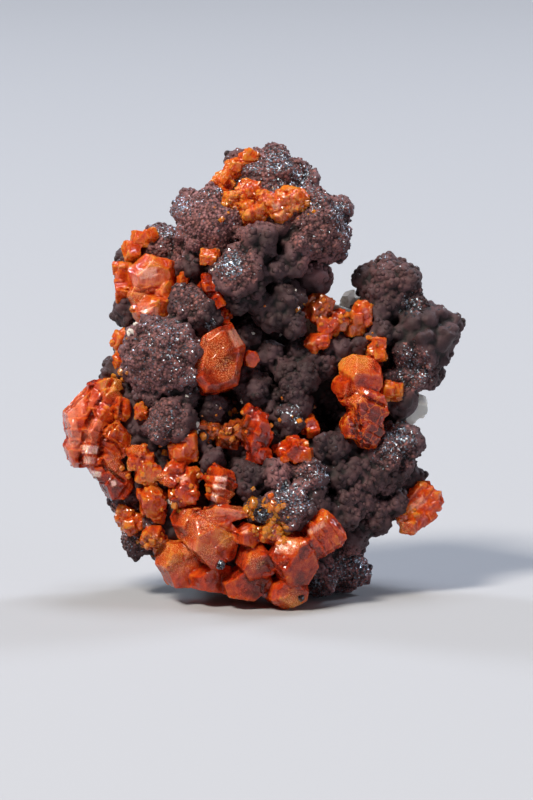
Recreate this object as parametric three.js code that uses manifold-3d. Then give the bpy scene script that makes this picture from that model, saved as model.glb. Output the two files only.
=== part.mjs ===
// Durangite crystals on botryoidal hematite and pale host rock, a hand specimen about 40 mm tall.
// Millimetres, +Z up. The origin is on the flat foot that the specimen stands on.
//
// Places are given as [across, up, toward]: to the right, upward and out of the front as one looks
// at the specimen's face from a little above. stance turns those into the upright frame.

import * as THREE from 'three';
import { ConvexGeometry } from 'three/addons/geometries/ConvexGeometry.js';
import { mergeVertices } from 'three/addons/utils/BufferGeometryUtils.js';
import Module from 'manifold-3d';

const wasm = await Module();
wasm.setup();

// Driving dimensions
const VIEW_RISE = THREE.MathUtils.degToRad(8); // the face is looked at from this far above level
const FOOT_DROP = 1.0; // how far the flat foot lies above the lowest point of the measured face
const GAP = 0.35; // clearance between a crystal and the hematite or rock it sits in
const SWELLS = 4; // slow swells that make a hematite knob uneven
const SWELL_HEIGHT = 0.035; // of each swell, as a share of the knob's radius
const SWELL_ANGLE = 2.5; // the most radians that a swell runs through from a knob's middle to its side
const SMALL_KNOB = 0.75; // a knob of a smaller radius has the fewest facets
const MIDDLE_KNOB = 1.3; // a knob of a larger radius has more facets
const KNOB_REACH = 1.5; // how many times deeper than round a knob of the top and left is behind
const FINGER_REACH = 2.6; // and a grape of the middle and right
const BERRY_RELIEF = 0.16; // depth of the creases between the bumps of a large knob, as a share
const BUMP_SPREAD = 2.1; // radians from a bump's top to its crease, times the root of their count
const MANY_BUMPS = 20; // a berry with more bumps has the most facets
const FACE_JITTER = 0.14; // how unevenly the faces of one crystal have grown, as a share
const FREE_TURN = 60; // the most degrees that a crystal with no turn of its own is turned
const CORNER_APART = 0.12; // corners of one crystal closer than this are one corner
const PLATE_CORNER = 1.25; // how far a plate's corner moves out when its sides move out by one

// How far edges may be drawn together after the joins and cuts, in mm
const KNOB_MELTING = { tolerance: 0.12, shortest: 0.76, longest: 1.4 };
const CUT_MELTING = { tolerance: 0.05, shortest: 0.3, longest: 0.8 };
const SLIVER = 0.01; // twice the area of a face so small that it has no direction of its own
const LEAST_AGREEMENT = 0.3; // cosine of the most that a face may turn
const SHARED_CORNERS = 4; // corners that the faces round one end of an edge share with the other's
const FLOOR_TOLERANCE = 1e-3;
const WELD = 1e-4; // corners closer than this are one corner of a solid

// Where each kind of random draw starts
const SEEDS = { bodies: 500, berries: 600, back: 700, topAndLeft: 800, rightAndCentre: 900 };
const CRYSTAL_SEED_STEP = 9176;
const CRYSTAL_SEED_START = 3;

// Durangite's monoclinic cell: edges in angstroms, and the angle between a and c
const CELL_A = 6.574;
const CELL_B = 8.505;
const CELL_C = 7.019;
const CELL_BETA = THREE.MathUtils.degToRad(115.34);

const stance = new THREE.Matrix4().makeRotationX(Math.PI / 2 - VIEW_RISE);
stance.setPosition(0, 0, -FOOT_DROP);

// A seeded source of random numbers from 0 to 1
function randomFrom(seed) {
  let state = seed >>> 0;
  return () => {
    state = (state + 0x6d2b79f5) >>> 0;
    let mixed = Math.imul(state ^ (state >>> 15), state | 1);
    mixed ^= mixed + Math.imul(mixed ^ (mixed >>> 7), mixed | 61);
    return ((mixed ^ (mixed >>> 14)) >>> 0) / 4294967296;
  };
}

// Joining and cutting

function solidOf(geometry) {
  const bare = geometry.clone();
  bare.deleteAttribute('normal');
  bare.deleteAttribute('uv');
  const welded = mergeVertices(bare, WELD);
  return new wasm.Manifold(new wasm.Mesh({
    numProp: 3,
    vertProperties: Float32Array.from(welded.attributes.position.array),
    triVerts: Uint32Array.from(welded.index.array),
  }));
}

function joined(solids) {
  let level = solids;
  while (level.length > 1) {
    const next = [];
    for (let i = 0; i < level.length; i += 2) {
      next.push(i + 1 < level.length ? level[i].add(level[i + 1]) : level[i]);
    }
    level = next;
  }
  return level[0];
}

// The corners and triangles of the largest closed shell of a cut solid. Crumbs cut loose, and
// bubbles sealed inside, are dropped.
function largestShell(solid) {
  const { vertProperties, triVerts, numProp } = solid.getMesh();
  const owner = Array.from({ length: vertProperties.length / numProp }, (_, i) => i);
  const rootOf = (i) => {
    while (owner[i] !== i) {
      owner[i] = owner[owner[i]];
      i = owner[i];
    }
    return i;
  };
  for (let i = 0; i < triVerts.length; i += 3) {
    owner[rootOf(triVerts[i + 1])] = rootOf(triVerts[i]);
    owner[rootOf(triVerts[i + 2])] = rootOf(triVerts[i]);
  }
  const shells = new Map();
  for (let i = 0; i < triVerts.length; i += 3) {
    const root = rootOf(triVerts[i]);
    if (!shells.has(root)) shells.set(root, []);
    shells.get(root).push([...triVerts.slice(i, i + 3)]);
  }
  const triangles = [...shells.values()].reduce((a, b) => (b.length > a.length ? b : a));
  const corners = owner.map((_, i) => new THREE.Vector3().fromArray(vertProperties, i * numProp));
  return { corners, triangles };
}

// Draws the two ends of an edge together where that moves no face around them by more than the
// tolerance, or where the edge is shorter than shortest. The shell stays closed, no face turns over,
// and the flat foot keeps its corners.
function meltEdges({ corners, triangles }, { tolerance, shortest, longest }) {
  const faces = triangles.map((face) => [...face]);
  const facesAt = corners.map(() => new Set());
  faces.forEach((face, f) => face.forEach((corner) => facesAt[corner].add(f)));
  const ring = (corner) => new Set([...facesAt[corner]].flatMap((f) => faces[f]));
  const normalOf = ([a, b, c]) => new THREE.Vector3().crossVectors(b.clone().sub(a), c.clone().sub(a));
  const onFoot = (corner) => Math.abs(corners[corner].z) < FLOOR_TOLERANCE;
  // how far a face lies from a place, or Infinity if moving its corner there turns it over
  const shiftOf = (f, ends, place) => {
    const points = faces[f].map((corner) => corners[corner]);
    const before = normalOf(points);
    const after = normalOf(faces[f].map((corner) => (ends.includes(corner) ? place : corners[corner])));
    if (before.length() < SLIVER) return 0;
    if (before.dot(after) < LEAST_AGREEMENT * before.length() * after.length()) return Infinity;
    return Math.abs(before.normalize().dot(place.clone().sub(points[0])));
  };
  const edges = [];
  for (const [a, b, c] of faces) {
    for (const [from, to] of [[a, b], [b, c], [c, a]]) {
      const length = corners[from].distanceTo(corners[to]);
      if (from < to && length < longest) edges.push([from, to, length]);
    }
  }
  edges.sort((a, b) => a[2] - b[2]);
  let melted = 0;
  for (const [keep, drop] of edges) {
    const shared = [...facesAt[keep]].filter((f) => facesAt[drop].has(f));
    if (shared.length !== 2 || onFoot(keep) !== onFoot(drop)) continue;
    const dropRing = ring(drop);
    // the ends share no neighbour but each other and the third corners of the two shared faces
    if ([...ring(keep)].filter((corner) => dropRing.has(corner)).length !== SHARED_CORNERS) continue;
    const around = [...facesAt[keep], ...facesAt[drop]].filter((f) => !shared.includes(f));
    const limit = corners[keep].distanceTo(corners[drop]) < shortest ? shortest : tolerance;
    const middle = corners[keep].clone().add(corners[drop]).multiplyScalar(0.5);
    let best = null;
    for (const place of [middle, corners[keep].clone(), corners[drop].clone()]) {
      const shift = Math.max(...around.map((f) => shiftOf(f, [keep, drop], place)));
      if (shift < limit && (!best || shift < best.shift)) best = { shift, place };
    }
    if (!best) continue;
    corners[keep].copy(best.place);
    for (const f of shared) {
      faces[f].forEach((corner) => facesAt[corner].delete(f));
      faces[f] = null;
    }
    for (const f of facesAt[drop]) {
      faces[f] = faces[f].map((corner) => (corner === drop ? keep : corner));
      facesAt[keep].add(f);
    }
    facesAt[drop].clear();
    melted += 1;
  }
  return { corners, triangles: faces.filter(Boolean), melted };
}

function melted(solid, limits) {
  let shell = largestShell(solid);
  do {
    shell = meltEdges(shell, limits);
  } while (shell.melted > 0);
  return shell;
}

function geometryOf({ corners, triangles }) {
  const geometry = new THREE.BufferGeometry().setFromPoints(corners);
  geometry.setIndex(triangles.flat());
  return geometry;
}

// Hematite: knobs and grapes that run into each other

// A faceted ball: the smaller the knob, the fewer its facets
function ballOf(radius, bumps) {
  if (bumps > MANY_BUMPS) return new THREE.IcosahedronGeometry(radius, 3);
  if (bumps > 0) return new THREE.IcosahedronGeometry(radius, 2);
  if (radius > MIDDLE_KNOB) return new THREE.IcosahedronGeometry(radius, 1);
  if (radius > SMALL_KNOB) return new THREE.DodecahedronGeometry(radius);
  return new THREE.IcosahedronGeometry(radius);
}

// One rounded knob. A berry is a large knob whose surface is divided into bumps by creases.
// reach draws a knob out toward the body behind it, so that it stands on it like a finger.
function knob([across, up, toward, radius], seed, { bumps = 0, reach = 1 } = {}) {
  const geometry = ballOf(radius, bumps);
  const random = randomFrom(seed);
  const eitherWay = () => (random() - 0.5) * 2 * SWELL_ANGLE;
  const swells = Array.from({ length: SWELLS }, () => (
    new THREE.Vector3(eitherWay(), eitherWay(), eitherWay())));
  const phases = swells.map(() => random() * Math.PI * 2);
  const turn = random() * Math.PI * 2;
  const centres = Array.from({ length: bumps }, (_, i) => {
    const height = 1 - (2 * i + 1) / bumps;
    const around = turn + i * Math.PI * (3 - Math.sqrt(5));
    const ring = Math.sqrt(1 - height * height);
    return new THREE.Vector3(ring * Math.cos(around), height, ring * Math.sin(around));
  });
  const bumpAngle = BUMP_SPREAD / Math.sqrt(bumps);
  const positions = geometry.attributes.position;
  const point = new THREE.Vector3();
  for (let i = 0; i < positions.count; i += 1) {
    point.fromBufferAttribute(positions, i).normalize();
    const sway = swells.reduce((sum, swell, k) => sum + Math.sin(swell.dot(point) + phases[k]), 0);
    let size = 1 + SWELL_HEIGHT * sway;
    if (bumps > 0) {
      const nearest = Math.min(...centres.map((centre) => centre.angleTo(point)));
      size -= BERRY_RELIEF * Math.min(1, (nearest / bumpAngle) ** 2);
    }
    point.multiplyScalar(radius * size);
    const depth = point.z < 0 ? point.z * reach : point.z;
    positions.setXYZ(i, across + point.x, up + point.y, toward + depth);
  }
  geometry.applyMatrix4(stance);
  return solidOf(geometry);
}

// The bodies of hematite that carry the knobs
const BODIES = [
  [0.4, 34.4, -0.8, 4.3], [0.2, 30.2, -1.4, 4.3], [-6.2, 27.2, -1.6, 4.5], [-8.0, 20.6, -0.6, 4.8],
  [-7.6, 13.2, 0.0, 4.9], [-5.8, 7.8, 0.4, 4.6], [-0.6, 24.6, -3.6, 4.4], [0.6, 18.4, -3.8, 5.1],
  [1.0, 11.6, -0.6, 6.2], [1.0, 6.6, 0.6, 5.0], [8.8, 22.8, -3.6, 4.3], [9.0, 17.2, -3.6, 4.4],
  [8.4, 11.6, -1.6, 4.5], [4.8, 7.0, -1.4, 3.9], [13.2, 24.0, -1.6, 2.6], [-10.8, 17.0, 0.8, 3.0],
  [-3.6, 16.2, -0.6, 3.6], [4.6, 20.6, -2.6, 3.5],
];

// Large knobs, each with its count of bumps
const BERRIES = [
  [0.6, 36.6, -0.4, 3.5, 26], [-4.4, 33.3, 2.4, 2.9, 22], [4.5, 33.0, 2.2, 2.85, 22],
  [-2.0, 28.9, 5.0, 2.35, 14], [-8.7, 21.6, 5.0, 3.5, 30], [-8.1, 16.1, 5.8, 2.0, 12],
  [11.0, 27.8, -0.4, 2.4, 16], [2.0, 8.6, 7.6, 2.1, 12], [7.2, 3.4, -0.8, 2.0, 12],
  [-6.1, 26.2, 4.2, 1.9, 10],
];

const TOP_KNOBS = [
  [1.1, 39.2, -0.5, 0.85], [3.3, 38.0, 0.0, 1.0], [-2.3, 38.4, -0.6, 1.0], [3.9, 36.8, 0.4, 1.1],
  [-5.9, 34.5, 0.4, 1.5], [-5.9, 31.5, 1.4, 1.6],
  [5.9, 34.2, 0.2, 1.6], [5.7, 31.4, 1.2, 1.5], [3.3, 31.2, 4.2, 1.3], [2.4, 29.9, 4.4, 1.1],
  [2.4, 29.0, 4.4, 0.9], [0.8, 29.2, 4.4, 1.1], [-0.3, 31.6, 4.8, 1.5], [1.3, 33.0, 2.6, 1.8],
  [-0.7, 26.3, 4.0, 1.1], [-2.2, 26.5, 4.5, 1.0], [2.0, 26.7, 3.8, 1.4], [0.8, 25.3, 3.8, 1.3],
  [2.6, 24.5, 4.0, 1.15], [4.3, 28.5, 1.2, 1.5],
];

const LEFT_KNOBS = [
  [-9.0, 30.9, -1.4, 2.0], [-11.2, 29.5, -1.2, 1.5], [-11.2, 26.0, -0.2, 1.5], [-5.0, 25.2, 5.0, 1.2],
  [-4.4, 24.3, 4.4, 1.0], [-11.0, 15.2, 3.2, 1.6], [-12.6, 20.3, 1.6, 1.4],
  [-10.8, 6.1, 1.2, 1.5], [-12.0, 8.9, 1.0, 1.2], [-10.7, 8.7, 0.2, 2.1], [-8.6, 7.2, 3.2, 1.7],
  [-9.0, 11.5, 4.0, 1.6], [-11.3, 10.9, 1.6, 1.8], [-6.5, 18.3, 5.0, 1.0], [-9.8, 18.4, 5.2, 1.0],
  [-6.4, 29.2, 2.4, 1.3], [-13.0, 17.4, 1.6, 1.6],
];

const RIGHT_KNOBS = [
  [12.1, 28.5, 0.6, 1.25], [9.4, 28.5, 0.2, 1.2], [10.2, 26.2, 0.4, 1.6], [13.2, 26.3, 0.4, 1.2],
  [13.5, 24.9, 1.4, 1.2], [14.8, 25.1, 0.6, 1.1], [16.2, 24.5, -0.2, 1.0], [15.6, 23.6, 1.0, 1.2],
  [14.0, 23.3, 1.9, 1.2], [12.5, 23.8, 1.7, 1.0], [15.4, 22.3, 0.5, 1.2], [14.0, 21.8, 1.3, 1.25],
  [12.4, 22.2, 1.7, 1.1], [10.4, 23.8, 1.6, 1.2], [12.5, 20.2, 0.8, 1.5], [14.2, 20.4, 0.2, 1.15],
  [11.3, 20.0, 1.6, 1.0], [11.9, 17.9, 0.8, 1.6], [9.4, 12.9, 2.8, 1.3], [10.5, 13.7, 2.8, 1.5],
  [11.9, 14.4, 2.0, 1.6], [12.3, 13.1, 1.4, 1.2], [12.9, 11.2, 0.2, 1.1], [11.8, 12.0, 1.8, 1.0],
  [10.7, 11.3, 2.6, 1.2], [9.1, 10.8, 3.4, 1.1], [8.2, 12.1, 3.6, 1.1], [6.6, 11.5, 4.6, 0.95],
  [7.7, 10.0, 4.0, 1.1], [6.5, 13.8, 3.8, 1.2], [5.0, 14.0, 4.5, 0.95], [7.0, 8.5, 4.2, 1.4],
  [8.3, 9.0, 3.6, 1.0], [9.6, 7.8, 2.0, 1.3], [11.5, 9.0, 1.4, 1.2], [7.9, 6.1, 2.2, 1.2],
  [5.6, 3.2, 0.6, 1.7], [4.5, 2.5, 2.6, 1.4],
];

const CENTRE_KNOBS = [
  [8.5, 22.5, 1.9, 1.0], [6.5, 22.3, 2.0, 1.2], [5.3, 20.8, 2.4, 1.1], [3.4, 21.9, 2.4, 1.25],
  [2.2, 20.6, 3.6, 1.0], [3.4, 19.8, 3.8, 1.1], [2.4, 18.7, 4.0, 1.0], [3.1, 17.5, 4.2, 1.0],
  [2.1, 16.0, 4.6, 1.1], [-0.7, 18.7, 3.6, 1.4], [0.7, 17.3, 4.0, 0.95], [0.9, 11.6, 6.6, 1.3],
  [2.8, 12.3, 6.0, 1.0], [4.0, 11.3, 5.8, 1.4], [-1.3, 11.5, 6.4, 1.1], [-1.2, 10.2, 6.6, 1.0],
  [-0.2, 8.4, 7.2, 1.1], [4.2, 9.4, 5.8, 1.3], [-2.0, 20.4, 2.6, 1.1], [0.4, 21.6, 2.0, 1.2],
  [-4.2, 17.2, 4.3, 1.1], [-5.3, 14.5, 4.8, 1.1], [-4.2, 12.6, 5.7, 1.1], [-1.5, 23.5, 2.2, 1.2],
];

// The back: knobs round the rim of the bare rock
const BACK_KNOBS = [
  [1.6, 36.2, -3.2, 2.4], [-1.8, 35.4, -3.2, 2.4], [0.4, 32.6, -4.8, 2.6], [3.6, 33.2, -3.2, 2.2],
  [-3.6, 32.4, -3.0, 2.2], [-7.6, 28.8, -4.4, 2.2], [-9.4, 25.8, -3.8, 2.1], [-10.2, 22.2, -4.0, 2.2],
  [-10.8, 18.4, -3.6, 2.3], [-10.2, 14.2, -4.2, 2.3], [-9.4, 10.2, -4.0, 2.2], [-7.8, 6.6, -3.8, 2.0],
  [10.6, 26.0, -3.6, 2.0], [13.2, 23.6, -4.0, 1.8], [11.4, 20.6, -4.8, 2.1], [10.4, 16.4, -5.0, 2.1],
  [10.4, 12.6, -4.6, 2.1], [8.8, 9.0, -4.4, 2.0], [6.2, 5.8, -4.0, 1.9], [1.4, 29.0, -6.0, 2.0],
];

// Crystals of durangite

// The normal of a face, with the b axis toward the viewer
function faceNormal(h, k, l) {
  const alongA = h / (CELL_A * Math.sin(CELL_BETA));
  const alongC = -l * Math.cos(CELL_BETA) / (CELL_C * Math.sin(CELL_BETA));
  return new THREE.Vector3(alongA + alongC, l / CELL_C, -k / CELL_B).normalize();
}

// Faces by their Miller indices, each with how far it stands from the middle of a crystal. The
// first faces make a stubby six-sided prism, and the others bevel it. A crystal has some of those.
const PRISM_FACES = [
  [1, 0, 0, 1], [-1, 0, 0, 1], [0, 0, 1, 1], [0, 0, -1, 1], [-1, 0, 1, 0.94], [1, 0, -1, 0.94],
  [0, 1, 0, 0.92], [0, -1, 0, 0.92],
];
const BEVEL_FACES = [
  [1, 1, 0, 1.1], [1, -1, 0, 1.1], [-1, 1, 0, 1.1], [-1, -1, 0, 1.1],
  [0, 1, 1, 1.1], [0, -1, 1, 1.1], [0, 1, -1, 1.1], [0, -1, -1, 1.1],
];
const BEVELLED_SHARE = 0.55; // of the bevels, on a large crystal
const SMALL_CRYSTAL = 2.2; // a smaller crystal has few bevels
const SMALL_BEVELLED_SHARE = 0.2;

const PARALLEL = 1e-3; // three faces whose normals span less meet in no corner
const ON_FACE = 1e-6;

// The corners of the body that all the faces enclose
function cornersOf(planes) {
  const corners = [];
  for (let i = 0; i < planes.length; i += 1) {
    for (let j = i + 1; j < planes.length; j += 1) {
      for (let k = j + 1; k < planes.length; k += 1) {
        const [p, q, r] = [planes[i], planes[j], planes[k]];
        const crossQR = new THREE.Vector3().crossVectors(q.normal, r.normal);
        const volume = p.normal.dot(crossQR);
        if (Math.abs(volume) < PARALLEL) continue;
        const corner = crossQR.multiplyScalar(p.distance)
          .addScaledVector(new THREE.Vector3().crossVectors(r.normal, p.normal), q.distance)
          .addScaledVector(new THREE.Vector3().crossVectors(p.normal, q.normal), r.distance)
          .divideScalar(volume);
        const inside = planes.every((plane) => plane.normal.dot(corner) <= plane.distance + ON_FACE);
        if (inside) corners.push(corner);
      }
    }
  }
  return corners;
}

// One crystal that fills a box of the given size about its place. turn is in degrees about the
// three view axes, and grown adds that much to every side.
function crystal({ at, size, turn, seed }, grown = 0) {
  const random = randomFrom(seed * CRYSTAL_SEED_STEP + CRYSTAL_SEED_START);
  const share = Math.max(...size) < SMALL_CRYSTAL ? SMALL_BEVELLED_SHARE : BEVELLED_SHARE;
  const bevels = BEVEL_FACES.filter(() => random() < share);
  const planes = [...PRISM_FACES, ...bevels].map(([h, k, l, distance]) => ({
    normal: faceNormal(h, k, l),
    distance: distance * (1 + (random() - 0.5) * 2 * FACE_JITTER),
  }));
  const angles = turn ?? [(random() - 0.5) * FREE_TURN, (random() - 0.5) * FREE_TURN, random() * FREE_TURN];
  const rotation = new THREE.Euler(...angles.map(THREE.MathUtils.degToRad));
  const corners = cornersOf(planes).map((corner) => corner.applyEuler(rotation));
  const bounds = new THREE.Box3().setFromPoints(corners);
  const middle = bounds.getCenter(new THREE.Vector3());
  const extent = bounds.getSize(new THREE.Vector3());
  const scale = new THREE.Vector3(...size).divide(extent);
  const swell = new THREE.Vector3(...size).addScalar(2 * grown).divide(new THREE.Vector3(...size));
  const points = [];
  for (const corner of corners) {
    const point = corner.sub(middle).multiply(scale);
    if (points.every((other) => other.distanceTo(point) > CORNER_APART)) points.push(point);
  }
  const geometry = new ConvexGeometry(points.map((point) => point.multiply(swell)));
  geometry.translate(...at);
  geometry.applyMatrix4(stance);
  return solidOf(geometry);
}

// A crystal whose outline shows: a flat face of that outline with bevelled edges, tilted
function plate({ outline, toward, thick, bevel, tilt }, grown = 0) {
  const corners = outline.map(([across, up]) => new THREE.Vector2(across, up));
  const middle = new THREE.Vector2();
  corners.forEach((corner) => middle.addScaledVector(corner, 1 / corners.length));
  const reach = Math.max(...corners.map((corner) => corner.distanceTo(middle)));
  const scale = ((reach + grown * PLATE_CORNER) / reach) * (1 - bevel / reach);
  const shape = new THREE.Shape(corners.map((corner) => corner.clone().sub(middle).multiplyScalar(scale)));
  const geometry = new THREE.ExtrudeGeometry(shape, {
    depth: thick - 2 * bevel + 2 * grown,
    bevelEnabled: true,
    bevelThickness: bevel,
    bevelSize: bevel,
    bevelSegments: 1,
    steps: 1,
  });
  geometry.translate(0, 0, -(thick - 2 * bevel) / 2 - grown);
  geometry.rotateX(THREE.MathUtils.degToRad(tilt[0]));
  geometry.rotateY(THREE.MathUtils.degToRad(tilt[1]));
  geometry.translate(middle.x, middle.y, toward);
  geometry.applyMatrix4(stance);
  return solidOf(geometry);
}

// The outline of the large tabular crystal in the middle, from its lower left corner clockwise
const TABULAR_OUTLINE = [
  [-5.1, 18.6], [-5.8, 19.6], [-5.7, 20.6], [-5.0, 23.2], [-4.0, 23.9], [-2.9, 24.3], [-1.9, 22.6],
  [-2.2, 21.0], [-2.6, 19.2], [-4.2, 18.6],
].reverse();

// The plate that sticks out at the lower right corner
const CORNER_PLATE_OUTLINE = [
  [11.7, 7.8], [12.4, 9.5], [13.6, 10.8], [14.7, 10.4], [15.6, 9.2], [13.1, 6.5], [12.0, 7.0],
].reverse();

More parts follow.
